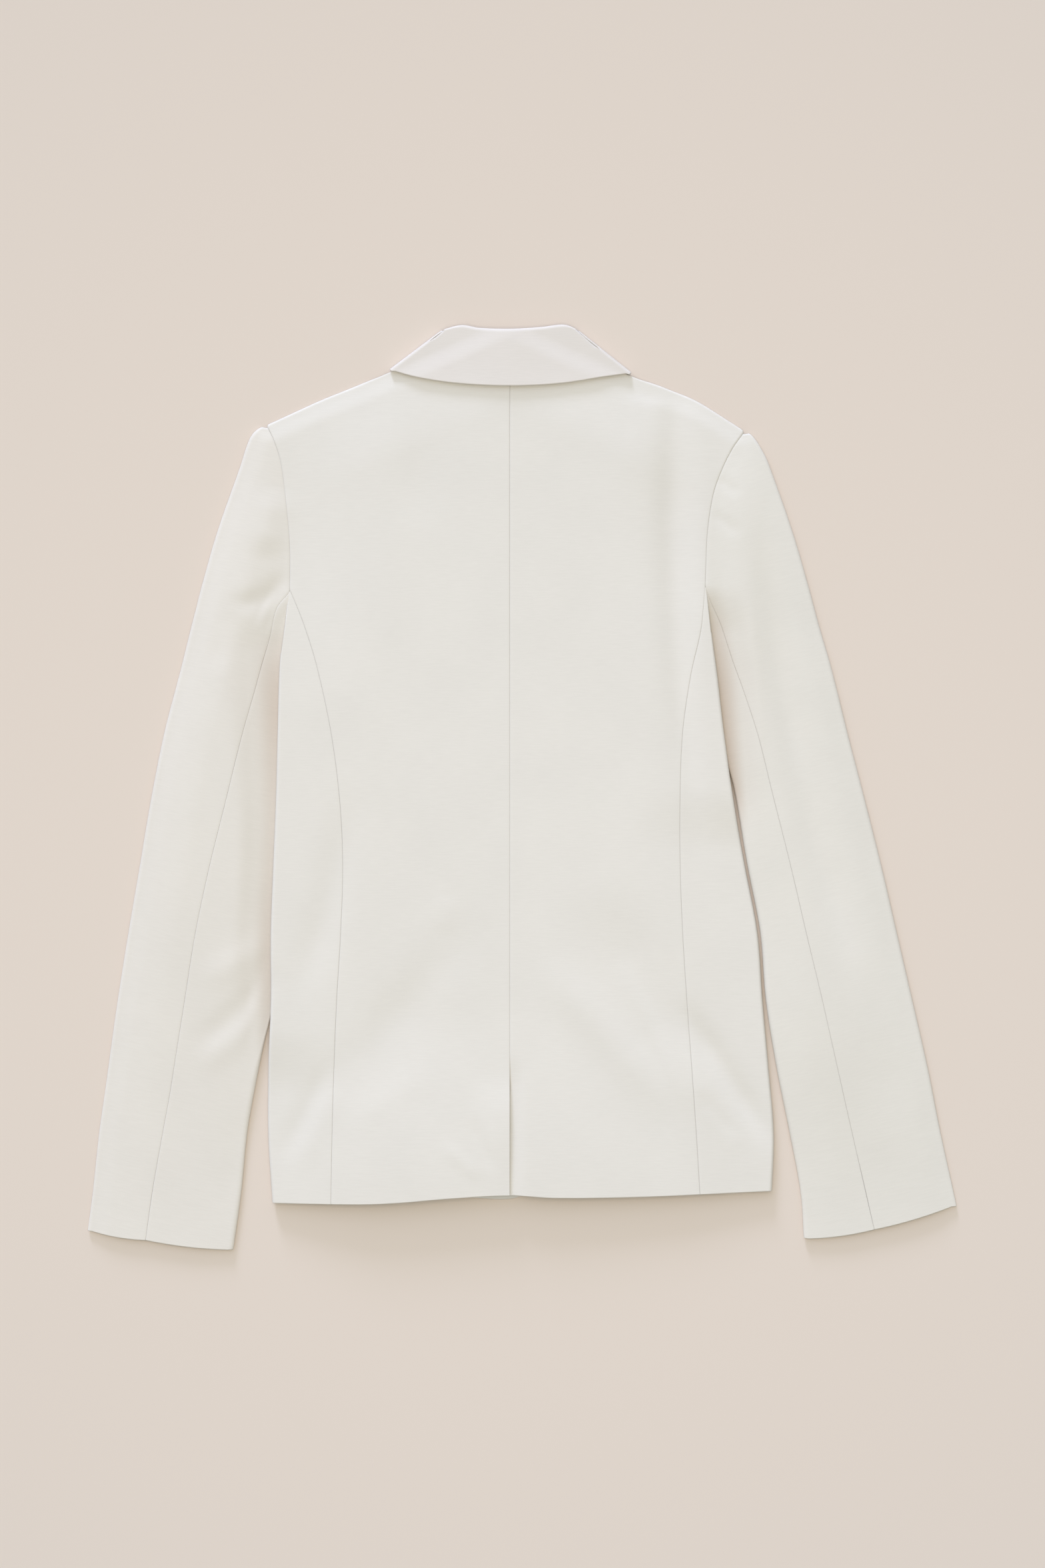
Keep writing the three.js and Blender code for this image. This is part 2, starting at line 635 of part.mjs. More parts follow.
// A front with its lapel: flat to the roll line, then folded under and back outwards
function frontPanel(name) {
  const side = sides[name];
  const low = name === 'left' ? leftFrontLow : frontLow;
  const frontEdge = curve(frontEdges[name], 'y', 'x');
  const rows = lowerRows + armholeRows;
  const seam = side.sideSeam;
  const outer = outerBorder(side, seam, hemOfFront(seam(hemLevel)));
  const bottomY = hemOfFront(frontEdge(hemLevel));
  const rollRows = Array.from({ length: rows + 1 }, (unused, row) => (row <= breakRow
    ? lerp(bottomY, lapelBreak, row / breakRow)
    : lerp(lapelBreak, gorgeHeight, (row - breakRow) / (rows - breakRow))));
  const rollX = (y) => (y < lapelBreak
    ? frontEdge(y)
    : lerp(side.roll.bottom, side.roll.top, (y - lapelBreak) / (gorgeHeight - lapelBreak)));
  const roll = rollRows.map((y) => ({ x: rollX(y), y }));
  const neckColumn = 0.77;
  const columns = [0, 0.17, 0.34, 0.5, 0.64, neckColumn, 0.89, 1];
  const tip = outer[rows];
  const seamPoint = { x: centreBack + (collarEnds[name].seam[0] - centreBack) * 1.04, y: gorgeHeight + 2 };
  const top = columns.map((part) => {
    if (part <= neckColumn) {
      const x = lerp(tip.x, side.neck.x, part / neckColumn);
      return { x, y: side.shoulderLine(x) - wall / 2 - foldRadius };
    }
    return part === 1 ? roll[rows] : seamPoint;
  });
  top[0] = tip;
  const bottom = columns.map((part) => {
    const x = lerp(outer[0].x, roll[0].x, part);
    return { x, y: hemOfFront(x) };
  });
  bottom[0] = outer[0];
  bottom[columns.length - 1] = roll[0];
  const flat = net(bottom, top, outer, roll);
  const grid = flat.map((line) => {
    const points = line.map((spot) => point(spot.x, spot.y, low(spot.x, spot.y)));
    const last = line[rows];
    return points.concat(overShoulder(side, last, -1, low(last.x, last.y), bodyTop(last.x, last.y)));
  });
  const lapel = lapelColumns(side, roll, grid[grid.length - 1]);
  const flatColumns = grid.length;
  return wallOf([...grid, ...lapel], (column, row) => {
    if (column < flatColumns - 1) {
      return column < flatColumns - 3 || row < rows;
    }
    return row >= breakRow && row < rows;
  });
}

function lapelColumns(side, roll, lastColumn) {
  const radius = pitch / 2;
  const heights = [0.5, 1].map((part) => ({ part, angle: part * Math.PI }));
  const round = heights.map(({ angle }) => lastColumn.map((spot) => point(
    spot.x - side.dir * radius * Math.sin(angle),
    spot.y,
    spot.z - radius + radius * Math.cos(angle),
  )));
  const wide = [0.3, 0.65, 1].map((part) => lastColumn.map((spot, row) => {
    const rollSpot = roll[Math.min(row, roll.length - 1)];
    const along = (rollSpot.y - lapelBreak) / (gorgeHeight - lapelBreak);
    const y = lerp(lapelBreak, lapelEdge[0].y, Math.max(along, 0));
    const edgeX = centreBack + side.dir * edgeOfLapel(y);
    return point(lerp(rollSpot.x, edgeX, part), lerp(rollSpot.y, y, part), layer[0]);
  }));
  return [...round, ...wide];
}

// Collar: across from the seam of its stand, over the roll, to the edge of its fall
const collarParts = {
  stand: [0, 0.35, 0.7],
  fall: [0.12, 0.35, 0.62, 1],
};

function collarSection(station) {
  const { roll, standRoll = roll, fall, seam, inward, turn, radial, standZ, fallZ, puff } = station;
  const beyond = point(roll[0] - fall[0], roll[1] - fall[1], 0).normalize();
  const facing = (angle) => radial.clone().multiplyScalar(Math.cos(angle)).addScaledVector(beyond, Math.sin(angle));
  const nest = standNest * turn;
  const toward = (start, end, part, offset) => ({
    x: lerp(start[0], end[0], part) + inward[0] * offset,
    y: lerp(start[1], end[1], part) + inward[1] * offset,
  });
  const stand = collarParts.stand.map((part) => {
    const spot = toward(standRoll, seam, 1 - part, nest);
    return facingPoint(spot.x, spot.y, standZ(spot.x, spot.y) - puff * 0.6 * part, facing(Math.PI));
  });
  const lay = collarParts.fall.map((part) => {
    const spot = toward(roll, fall, part, 0);
    return facingPoint(spot.x, spot.y, fallZ(spot.x, spot.y) + puff * (1 - part), facing(0));
  });
  const from = stand[stand.length - 1];
  const to = lay[0];
  const radius = Math.max(to.z - from.z, from.z - to.z, nest) / 2;
  const bend = [-0.3, 0, 0.3].map((part) => {
    const angle = part * Math.PI;
    const share = (1 + Math.sin(angle)) / 2;
    const start = [lerp(standRoll[0], roll[0], share), lerp(standRoll[1], roll[1], share)];
    const spot = toward(start, start, 0, nest * (1 - share));
    const back = radius * (1 - Math.cos(angle));
    return facingPoint(
      spot.x - beyond.x * back,
      spot.y - beyond.y * back,
      lerp(from.z, to.z, share),
      facing(Math.PI / 2 - angle),
    );
  });
  return [...stand, ...bend, ...lay];
}

// One side's stations of the collar, from the back neck round the slope to the end under the front
function collarSide(name) {
  const side = sides[name];
  const rollEnds = { left: -62.5, right: 44 };
  const fallEnds = { left: -103, right: 85 };
  const ends = collarEnds[name];
  const slopeRoll = [rollEnds[name], rollOfCollar(rollEnds[name])];
  const slopeFall = [fallEnds[name], edgeOfFall(fallEnds[name])];
  const slope = new THREE.Vector2(slopeFall[0] - slopeRoll[0], slopeFall[1] - slopeRoll[1]).normalize();
  const inward = [slope.y * side.dir, -slope.x * side.dir];
  const slopeSeam = [side.neck.x, side.neck.y + standSeamGap];
  const slopeRadius = 3.2;
  const overBack = (x, y, height) => Math.max(height, bodyTop(x, y) + pitch + 0.1);
  const stations = steps(4).slice(0, -1).map((part) => {
    const x = lerp(centreBack, slopeRoll[0] + inward[0] * slopeRadius, part);
    const fallX = lerp(centreBack, slopeFall[0] + inward[0] * slopeRadius, part);
    const seamX = lerp(centreBack, slopeSeam[0] + inward[0] * slopeRadius, part);
    return {
      roll: [x, rollOfCollar(x)],
      fall: [fallX, edgeOfFall(fallX)],
      seam: [seamX, seamCurve(side, seamX) + standSeamGap],
      inward: [0, 0],
      turn: 0,
      radial: point(0, 0, 1),
      puff: collarPuff * (1 - part * 0.8),
      standZ: () => lerp(layer[3], layer[2], ease(part, 0.3, 1)),
      fallZ: (spotX, spotY) => overBack(spotX, spotY, lerp(layer[4], layer[3], ease(part, 0.3, 1))),
    };
  });
  const folds = [1, 0.5, 0, -0.5, -1].map((part) => {
    const angle = part * Math.PI / 2;
    const fallMiddle = (layer[3] + layer[0]) / 2;
    const fallHalf = (layer[3] - layer[0]) / 2;
    const standMiddle = (layer[2] + layer[1]) / 2;
    const standHalf = (layer[2] - layer[1]) / 2;
    const offset = foldRadius * (1 - Math.cos(angle));
    const standOffset = standHalf * (1 - Math.cos(angle));
    return {
      roll: [slopeRoll[0] + inward[0] * offset, slopeRoll[1] + inward[1] * offset],
      standRoll: [slopeRoll[0] + inward[0] * standOffset, slopeRoll[1] + inward[1] * standOffset],
      fall: [slopeFall[0] + inward[0] * offset, slopeFall[1] + inward[1] * offset],
      seam: [slopeSeam[0] + inward[0] * standOffset, slopeSeam[1] + inward[1] * standOffset],
      inward,
      turn: 1,
      radial: point(-inward[0] * Math.cos(angle), -inward[1] * Math.cos(angle), Math.sin(angle)),
      puff: 0,
      standZ: () => standMiddle + standHalf * Math.sin(angle),
      fallZ: (x, y) => (part === 1 ? overBack(x, y, layer[3]) : fallMiddle + fallHalf * Math.sin(angle)),
    };
  });
  const under = [0.5, 1].map((part) => ({
    roll: [lerp(slopeRoll[0], ends.roll[0], part), lerp(slopeRoll[1], ends.roll[1], part)],
    fall: [lerp(slopeFall[0], ends.fall[0], part), lerp(slopeFall[1], ends.fall[1], part)],
    seam: [lerp(slopeSeam[0], ends.seam[0], part), lerp(slopeSeam[1], ends.seam[1], part)],
    inward: [0, 0],
    turn: 0,
    radial: point(0, 0, -1),
    puff: 0,
    standZ: () => layer[1],
    fallZ: () => layer[0],
  }));
  return [...stations, ...folds, ...under].map(collarSection);
}

function collar() {
  const left = collarSide('left').reverse();
  const right = collarSide('right').slice(1);
  return wallOf([...left, ...right]);
}

// The wall: both faces of a grid, moved apart, joined by rims round the cells that are present
function wallOf(columns, present = () => true, topInset = seamGap / 2) {
  const inset = shrinkBorders(columns, seamGap / 2, topInset);
  const across = inset.length;
  const up = inset[0].length;
  const used = (column, row) => {
    return column >= 0 && row >= 0 && column < across - 1 && row < up - 1 && present(column, row);
  };
  const turn = knownSide(columns, inset, used);
  const positions = [];
  const indices = [];
  const numbers = new Map();
  const vertex = (column, row, face) => {
    const name = `${column} ${row} ${face}`;
    if (!numbers.has(name)) {
      const { facing } = columns[column][row];
      const normal = facing?.clone().multiplyScalar(turn) ?? normalAt(inset, column, row, used);
      const spot = inset[column][row].clone().addScaledVector(normal, face * wall / 2);
      numbers.set(name, positions.length / 3);
      positions.push(spot.x, spot.y, spot.z);
    }
    return numbers.get(name);
  };
  const quad = (a, b, c, d) => indices.push(a, b, c, a, c, d);
  const rim = (a, b) => quad(vertex(...a, 1), vertex(...a, -1), vertex(...b, -1), vertex(...b, 1));
  for (let column = 0; column < across - 1; column += 1) {
    for (let row = 0; row < up - 1; row += 1) {
      if (!used(column, row)) {
        continue;
      }
      const corners = [[column, row], [column + 1, row], [column + 1, row + 1], [column, row + 1]];
      quad(...corners.map((corner) => vertex(...corner, 1)));
      quad(...[2, 1, 0, 3].map((corner) => vertex(...corners[corner], -1)));
      const beside = [[column, row - 1], [column + 1, row], [column, row + 1], [column - 1, row]];
      beside.forEach((cell, index) => {
        if (!used(...cell)) {
          rim(corners[index], corners[(index + 1) % 4]);
        }
      });
    }
  }
  const geometry = new THREE.BufferGeometry();
  geometry.setAttribute('position', new THREE.Float32BufferAttribute(positions, 3));
  geometry.setIndex(volumeOf(positions, indices) < 0 ? indices.reverse() : indices);
  geometry.computeVertexNormals();
  return geometry;
}

function volumeOf(positions, indices) {
  let volume = 0;
  const corner = (index) => new THREE.Vector3().fromArray(positions, index * 3);
  for (let index = 0; index < indices.length; index += 3) {
    const [a, b, c] = [corner(indices[index]), corner(indices[index + 1]), corner(indices[index + 2])];
    volume += a.dot(b.cross(c)) / 6;
  }
  return volume;
}

// 1 where the known facings of a grid agree with the turn of its cells, or else -1
function knownSide(columns, inset, used) {
  let agreement = 0;
  columns.forEach((line, column) => line.forEach((spot, row) => {
    if (spot.facing) {
      agreement += spot.facing.dot(normalAt(inset, column, row, used));
    }
  }));
  return agreement < 0 ? -1 : 1;
}

// The cloth's direction at a point, from its neighbours in the cells that are present
function normalAt(columns, column, row, used) {
  const normal = new THREE.Vector3();
  for (const [side, up] of [[-1, -1], [0, -1], [-1, 0], [0, 0]]) {
    const cell = [column + side, row + up];
    if (used(...cell)) {
      const near = columns[cell[0]][cell[1]];
      const along = columns[cell[0] + 1][cell[1] + 1].clone().sub(near);
      const other = columns[cell[0]][cell[1] + 1].clone().sub(columns[cell[0] + 1][cell[1]]);
      normal.add(along.cross(other).normalize());
    }
  }
  return normal.normalize();
}

// The borders of a grid, drawn in along the cloth so that neighbours stay clear at a seam
function shrinkBorders(columns, distance, topDistance) {
  const drawn = columns.map((line) => line.map((spot) => spot.clone()));
  const last = columns.length - 1;
  const top = columns[0].length - 1;
  const draw = (column, row, nextColumn, nextRow, length = distance) => {
    const toward = columns[nextColumn][nextRow].clone().sub(columns[column][row]);
    if (toward.length() > length) {
      drawn[column][row].addScaledVector(toward.normalize(), length);
    }
  };
  for (let row = 0; row <= top; row += 1) {
    draw(0, row, 1, row);
    draw(last, row, last - 1, row);
  }
  for (let column = 0; column <= last; column += 1) {
    draw(column, 0, column, 1);
    draw(column, top, column, top - 1, topDistance);
  }
  return drawn;
}

// Materials and the finished garment

const ponte = (name, color) => new THREE.MeshStandardMaterial({ name, color, roughness: 0.9, metalness: 0 });
const backCloth = ponte('back knit', '#e4e2dc');
const sleeveCloth = ponte('sleeve knit', '#e3ded8');
const collarCloth = ponte('collar knit', '#e0dcd7');

const blazer = new THREE.Group();
function add(name, geometry, material) {
  const mesh = new THREE.Mesh(geometry, material);
  mesh.name = name;
  blazer.add(mesh);
}

add('back_left', wallOf(backPanel(sides.left)), backCloth);
add('back_right', rightBack(), backCloth);
for (const name of ['left', 'right']) {
  add(`side_${name}`, sidePanel(sides[name]), backCloth);
  add(`front_${name}`, frontPanel(name), backCloth);
  add(`sleeve_upper_${name}`, upperSleeve(sides[name]), sleeveCloth);
  add(`sleeve_under_${name}`, underSleeve(sides[name]), sleeveCloth);
}
add('collar', collar(), collarCloth);

// The origin is the middle of the garment, on the surface that it lies on
const box = new THREE.Box3().setFromObject(blazer);
const middle = box.getCenter(new THREE.Vector3());
blazer.position.set(-middle.x, -middle.y, -box.min.z);

export default blazer;
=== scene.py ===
import math

import bpy
import numpy as np
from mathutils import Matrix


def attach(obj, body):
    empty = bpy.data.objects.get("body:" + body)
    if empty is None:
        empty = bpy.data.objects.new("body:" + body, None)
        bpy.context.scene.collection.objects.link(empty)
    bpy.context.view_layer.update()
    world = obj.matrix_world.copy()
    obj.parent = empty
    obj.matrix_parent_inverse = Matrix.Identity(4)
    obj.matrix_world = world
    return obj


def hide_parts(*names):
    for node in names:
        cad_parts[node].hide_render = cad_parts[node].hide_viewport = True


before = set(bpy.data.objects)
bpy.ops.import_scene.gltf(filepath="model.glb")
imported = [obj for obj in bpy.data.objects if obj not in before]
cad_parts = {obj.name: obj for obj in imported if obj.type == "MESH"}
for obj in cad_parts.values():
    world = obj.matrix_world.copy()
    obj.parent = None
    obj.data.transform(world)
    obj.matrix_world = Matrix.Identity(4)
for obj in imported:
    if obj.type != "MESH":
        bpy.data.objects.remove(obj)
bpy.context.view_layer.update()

# A blazer lying on its front, its back up. Shapes are worked out in millimetres and built in metres.
mm = 0.001
originShift = np.array([-0.079, 0.187, 0.0])        # the frame's origin is the middle of the garment's box

def placed(name, data):        # a new object in the scene
    item = bpy.data.objects.new(name, data)
    bpy.context.scene.collection.objects.link(item)
    return item

# Camera, straight above, framed as the photograph is
view = {
    "lens": 70.0,
    "sensor": 36.0,
    "place": (0.00028, 0.00268, 2.383),
}
camera = bpy.data.cameras.new("camera")
camera.lens = view["lens"]
camera.sensor_width = view["sensor"]
cameraObject = placed("camera", camera)
cameraObject.location = view["place"]
bpy.context.scene.camera = cameraObject
print("camera ready")


# Numbers and curves

def table(columns, *rows):
    return [dict(zip(columns.split(), row)) for row in rows]


def mix(first, second, part):
    return first + (second - first) * part


def ease(value, start, end):        # 0 at start, 1 at end, soft at both
    part = np.clip((np.asarray(value, float) - start) / (end - start), 0, 1)
    return part * part * (3 - 2 * part)


def curve(rows, key, column):        # smooth through one column of a table, straight on past its ends
    ordered = sorted(rows, key=lambda row: row[key])
    at = np.array([row[key] for row in ordered], float)
    value = np.array([row[column] for row in ordered], float)
    before = np.maximum(np.arange(len(at)) - 1, 0)
    after = np.minimum(np.arange(len(at)) + 1, len(at) - 1)
    slope = (value[after] - value[before]) / (at[after] - at[before])

    def along(spot):
        spot = np.asarray(spot, float)
        low = np.clip(np.searchsorted(at, spot, side="right") - 1, 0, len(at) - 2)
        span = at[low + 1] - at[low]
        part = np.clip((spot - at[low]) / span, 0, 1)
        square = part ** 2
        cube = part ** 3
        inside = (2 * cube - 3 * square + 1) * value[low] + (cube - 2 * square + part) * span * slope[low]
        inside += (3 * square - 2 * cube) * value[low + 1] + (cube - square) * span * slope[low + 1]
        return inside + slope[0] * np.minimum(spot - at[0], 0) + slope[-1] * np.maximum(spot - at[-1], 0)
    return along


nearBorder = np.array([0.7, 1.3, 2.1, 3.2])        # extra steps beside a seam or hem


def steps(count, length=None):        # 0 to 1, closer together at both ends where a length is given
    if length is None:
        return np.linspace(0, 1, count + 1)
    near = nearBorder / length
    inner = np.linspace(near[-1], 1 - near[-1], count + 1)[1:-1]
    return np.concatenate([[0], near, inner, 1 - near[::-1], [1]])


# Cloth and how its layers lie on each other
cloth = {
    "wall": 1.5,
    "layerGap": 0.33,
    "seamGap": 0.04,
    "seamRound": 0.07,        # how far the faces draw back from a pressed seam
    "edgeRound": 0.5,        # and from a free edge
    "seamDepth": 0.14,
    "armholeDepth": 0.6,        # how much deeper the seams are round the armholes
    "seamWidth": 1.0,
    "sideFold": 3.2,        # radius of a soft fold along a side or sleeve
    "panelFold": 1.6,        # tighter along the side panels, and most where they end at the underarm
    "panelTop": 0.3,
    "taper": 18,        # the garment thins over this width towards its shoulders
    "sleeveTaper": 0.6,        # in layers, along a sleeve's outer fold
}
pitch = cloth["wall"] + cloth["layerGap"]
foldRadius = pitch
layer = [cloth["wall"] / 2 + count * pitch for count in range(5)]

# The body's own levels
body = {
    "centre": -9.5,
    "hem": -320,
    "neckDrop": 6,
    "ventTop": -232,
    "ventUnderlap": 35,
    "ventStep": 14,
    "lapelBreak": -75,
    "gorge": 300,
    "liftReach": 20,
    "liftFade": 40,
    "shoulderGap": 0.55,
    "tuckRoom": 0.5,
}
centre = body["centre"]

# How far the upper layer stands off the flat stack, with air under it
loft = {
    "back": 3.6,
    "backReach": 85,
    "shoulderReach": 70,
    "sleeve": 4.2,
    "edgeRise": 1.3,        # more lift of the body's edge over a tucked sleeve
    "riseAbove": 70,        # the body's upper layer rises gently, from above the underarm to below it
    "riseBelow": 50,
    "riseReach": 95,
    "sleeveReach": 40,
    "cuffDrop": 3.0,
    "cuffFlat": 0.85,        # how much of the sleeve's crown is gone at the cuff
    "hemReach": 150,
    "ventLift": 1.7,
    "ventFade": 0.2,        # how much of that lift is left at the hem
    "ventReach": 38,
    "armholeReach": 16,
}

sides = {
    "left": {
        "dir": -1,
        "junction": (-181, 153.5),
        "underarm": (-188.9, 104),
        "sleeveUnderarm": 94,
        "tip": (-198.9, 281.8),
        "neck": (-89.5, 330.5),
        "tuckEnd": -188,
        "tuckGone": -240,
        # the hollow's width beside the body's edge, and how strong the painted shade in it is
        "hollow": table(
            "y width shade",
            (125, 27, 0), (95, 25, 0.55), (67, 22, 0.75), (20, 19, 0.55), (-37, 16, 0.35),
            (-140, 16, 0.5), (-200, 12, 0.25),
        ),
        "roll": {"top": -54, "bottom": -13},
        "cuff": {"outer": -346.3, "seam": -353.6, "inner": -360.7, "front": -358},
        "cuffReach": 420,
        "sleeveTop": {"outer": 280.5, "junction": 162},
        "sections": table(
            "y princess edge frontSeam",
            (153.5, -181, -181, -181),
            (128, -170.5, -185, -173),
            (94, -159.8, -188.9, -163),
            (42, -148.6, -190.5, -157.5),
            (-10, -141.9, -191.8, -158),
            (-62, -139.5, -193.9, -160),
            (-114, -141.1, -195.8, -162),
            (-166, -144.2, -195.7, -163),
            (-218, -146.3, -197.8, -164),
            (-270, -147.7, -198.1, -164),
            (-324, -148.6, -194.8, -163),
        ),
        "armhole": table(
            "y x",
            (153.5, -181), (185, -181), (205, -182.3), (223, -184.2), (241, -186.3), (256, -188.9),
            (270, -193.6), (282.5, -199.6),
        ),
        "shoulder": table(
            "x y",
            (-199.6, 282.5), (-180, 291.5), (-157, 302), (-131, 312.5), (-105, 323.5),
            (-89.5, 330.5),
        ),
        "sleeve": table(
            "y outer backSeam inner frontSeam",
            (282.5, -199.6, -181, -181, -181),
            (278, -208, -181, -181, -181),
            (270, -213.5, -181, -181, -181),
            (250, -220.1, -181, -181, -181),
            (198, -238.3, -181, -181, -181),
            (153.5, -251, -181, -181, -181),
            (140, -254.4, -191, -179.8, -184),
            (118, -260, -196.5, -179.5, -190),
            (94, -265.9, -203.5, -180.5, -197),
            (78, -270.1, -207.8, -180, -199),
            (42, -279.4, -217.8, -178, -200),
            (-10, -289.8, -230.5, -174, -197),
            (-62, -298.6, -243.5, -176, -199),
            (-114, -307.5, -254.6, -183, -206),
            (-166, -315.8, -263, -193, -215),
            (-202, -320.9, -268.8, -201.9, -224),
            (-239, -326, -274.7, -209.4, -231),
            (-270, -330.4, -280.4, -214.7, -236),
            (-316, -335.4, -288.6, -219.3, -241),
            (-361, -341.4, -294.8, -225.6, -247),
        ),
    },
    "right": {
        "dir": 1,
        "junction": (142.8, 157),
        "underarm": (147.9, 120),
        "sleeveUnderarm": 112,
        "tip": (173.4, 277),
        "neck": (70.5, 328),
        "tuckEnd": 0,
        "tuckGone": -50,
        # the hollow's width beside the body's edge, and how strong the painted shade in it is
        "hollow": table(
            "y width shade",
            (150, 19, 0.2), (120, 19, 0.7), (68, 18, 1), (-36, 10, 0.9), (-60, 7, 0.5), (-95, 7, 0),
        ),
        "roll": {"top": 35, "bottom": -6},
        "cuff": {"outer": -327, "seam": -345.3, "inner": -352, "front": -350},
        "cuffReach": 190,
        "sleeveTop": {"outer": 275.5, "junction": 166},
        "sections": table(
            "y princess edge frontSeam",
            (157, 142.8, 142.8, 142.8),
            (127, 140.2, 146.7, 138),
            (114, 137.8, 148.4, 133),
            (88, 131.9, 152, 127),
            (42, 125.2, 157.4, 124),
            (-10, 123.1, 164.7, 131),
            (-62, 123.3, 174, 140),
            (-114, 125.2, 183.7, 149),
            (-166, 128.5, 187.6, 153),
            (-218, 132.2, 192.2, 157),
            (-270, 135.8, 196.4, 161),
            (-318, 138.7, 194.8, 160),
        ),
        "armhole": table(
            "y x",
            (157, 142.8), (176, 143.4), (198.6, 144.6), (222.6, 148), (238.7, 152.5), (262, 163.2),
            (277.6, 174),
        ),
        "shoulder": table(
            "x y",
            (174, 277.6), (160, 286.6), (135, 302), (111, 312), (87, 320.5), (70.5, 328),
        ),
        "sleeve": table(
            "y outer backSeam inner frontSeam",
            (277.7, 174, 142.8, 142.8, 142.8),
            (273.5, 180.3, 142.8, 142.8, 142.8),
            (260.5, 188.6, 142.8, 142.8, 142.8),
            (250, 193.3, 142.8, 142.8, 142.8),
            (198, 211.5, 142.8, 142.8, 142.8),
            (157, 223.5, 142.8, 142.8, 142.8),
            (127, 231.5, 155, 140.6, 150),
            (112, 235.9, 160, 140.2, 156),
            (97.5, 240.2, 164.7, 143, 162),
            (73, 246.5, 173.5, 148.6, 168.5),
            (42, 254.1, 183.4, 154.5, 174),
            (20, 259.8, 189, 159.5, 181),
            (0, 265, 193.8, 165.2, 186),
            (-62, 280.6, 209.3, 176.1, 198),
            (-114, 292.6, 221.4, 186, 207),
            (-166, 304.6, 233.8, 190.3, 212),
            (-218, 316.5, 245.6, 198.5, 220),
            (-270, 326.9, 257.5, 209, 232),
            (-316, 337.2, 268.3, 217.5, 240),
            (-352, 344.9, 276.5, 220.1, 242),
        ),
    },
}
for side in sides.values():
    side["princessLine"] = curve(side["sections"], "y", "princess")
    side["edgeLine"] = curve(side["sections"], "y", "edge")
    side["sideSeamLine"] = curve(side["sections"], "y", "frontSeam")
    side["armholeLine"] = curve(side["armhole"], "y", "x")
    side["shoulderLine"] = curve(side["shoulder"], "x", "y")
    side["outerLine"] = curve(side["sleeve"], "y", "outer")
    side["backSeamLine"] = curve(side["sleeve"], "y", "backSeam")
    side["innerLine"] = curve(side["sleeve"], "y", "inner")
    side["frontSeamLine"] = curve(side["sleeve"], "y", "frontSeam")
    side["hollowWidth"] = curve(side["hollow"], "y", "width")
    side["hollowDepth"] = curve(side["hollow"], "y", "shade")

hemOfBack = curve(table(
    "x y",
    (-195, -324.3), (-126, -324.6), (-96, -323.3), (-58, -320.1), (-11, -317.6), (26, -319.6),
    (91, -319), (139, -317.2), (195, -315),
), "x", "y")
hemOfFront = curve(table(
    "x y",
    (-195, -321.5), (-100, -320.5), (-46, -320), (-17, -321.6), (-4, -320.4), (3, -317),
    (195, -313),
), "x", "y")

hemLoft = curve(table(
    "x height",
    (-198, 0), (-165, 2.3), (-110, 3.8), (-60, 4.0), (-12, 3.2), (50, 2.3), (110, 0.8), (160, 0.4),
    (198, 0),
), "x", "height")

# Creases of the upper layer: from, to, half width and height, a trough where the height is negative.
# Bow is how far the middle of a crease lies to the side of the straight line.
creases = table(
    "x1 y1 x2 y2 width height bow",
    (119, 296, 131, 4, 12.5, -3.6, 6),        # right back
    (141, 240, 142, 100, 9, 1.0, 0),
    (78, 309, 106, 302, 6, -0.8, 0),
    (-62, 300, -84, 215, 22, -0.7, 0),        # left back
    (68, -104, 126, -214, 26, -2.0, 0),        # right waist and hip
    (84, -150, 127, -242, 7, 0.9, 0),
    (30, -150, 104, -238, 15, 1.6, 0),
    (134, -182, 186, -266, 9, -2.6, 0),
    (118, -196, 160, -272, 8, 0.8, 0),
    (141, -240, 163, -270, 6, -0.7, 0),
    (-46, -118, -122, -207, 17, -0.9, 0),        # left waist and hip
    (-66, -168, -134, -232, 32, -1.3, 0),
    (-57, -88, -62, -110, 10, 0.35, 0),
    (-74, -222, -130, -262, 12, 0.3, 0),
    (-137, -22, -170, -150, 14, -1.5, -4),
    (-152, -220, -184, -284, 9, -1.0, 0),
    (-146, -240, -170, -292, 9, 0.4, 0),
    (-38, -262, -22, -296, 6, -0.5, 0),        # left flap of the vent
    (-60, -280, -34, -302, 6, 0.5, 0),
    (-192, 226, -199, 186, 14, 1.7, 0),        # left sleeve
    (-185, 162, -222, 142, 8.5, -1.7, -5),
    (-189, 150, -199, 124, 3.6, -0.4, 0),
    (-198, 150, -209, 128, 3.6, -0.35, 0),
    (-224, 140, -236, 96, 10, -0.9, 0),
    (-204, -124, -244, -150, 11, 0.9, 0),
    (-196, -150, -246, -198, 10, -1.2, 0),
    (-204, -182, -248, -214, 10, 0.7, 0),
    (-214, -258, -226, -318, 14, -0.5, 0),
    (153, 240, 168, 229, 5, -0.5, 0),        # right sleeve
    (151, 212, 168, 198, 5, -0.5, 0),
    (188, 170, 253, -118, 14, -5.0, 4),
    (214, 30, 240, -70, 9, 1.0, 0),
    (268, -150, 290, -250, 18, -1.2, 0),
)


def creaseHeight(x, y):
    height = np.zeros_like(x)
    for fold in creases:
        length = math.hypot(fold["x2"] - fold["x1"], fold["y2"] - fold["y1"])
        alongX = (fold["x2"] - fold["x1"]) / length
        alongY = (fold["y2"] - fold["y1"]) / length
        part = ((x - fold["x1"]) * alongX + (y - fold["y1"]) * alongY) / length
        offset = (x - fold["x1"]) * alongY - (y - fold["y1"]) * alongX
        across = (offset - fold["bow"] * 4 * part * (1 - part)) / fold["width"]
        height += fold["height"] * ease(part, -0.25, 0.3) * ease(part, 1.25, 0.7) * np.exp(-across ** 2)
    return height


# Heights of the body and sleeves

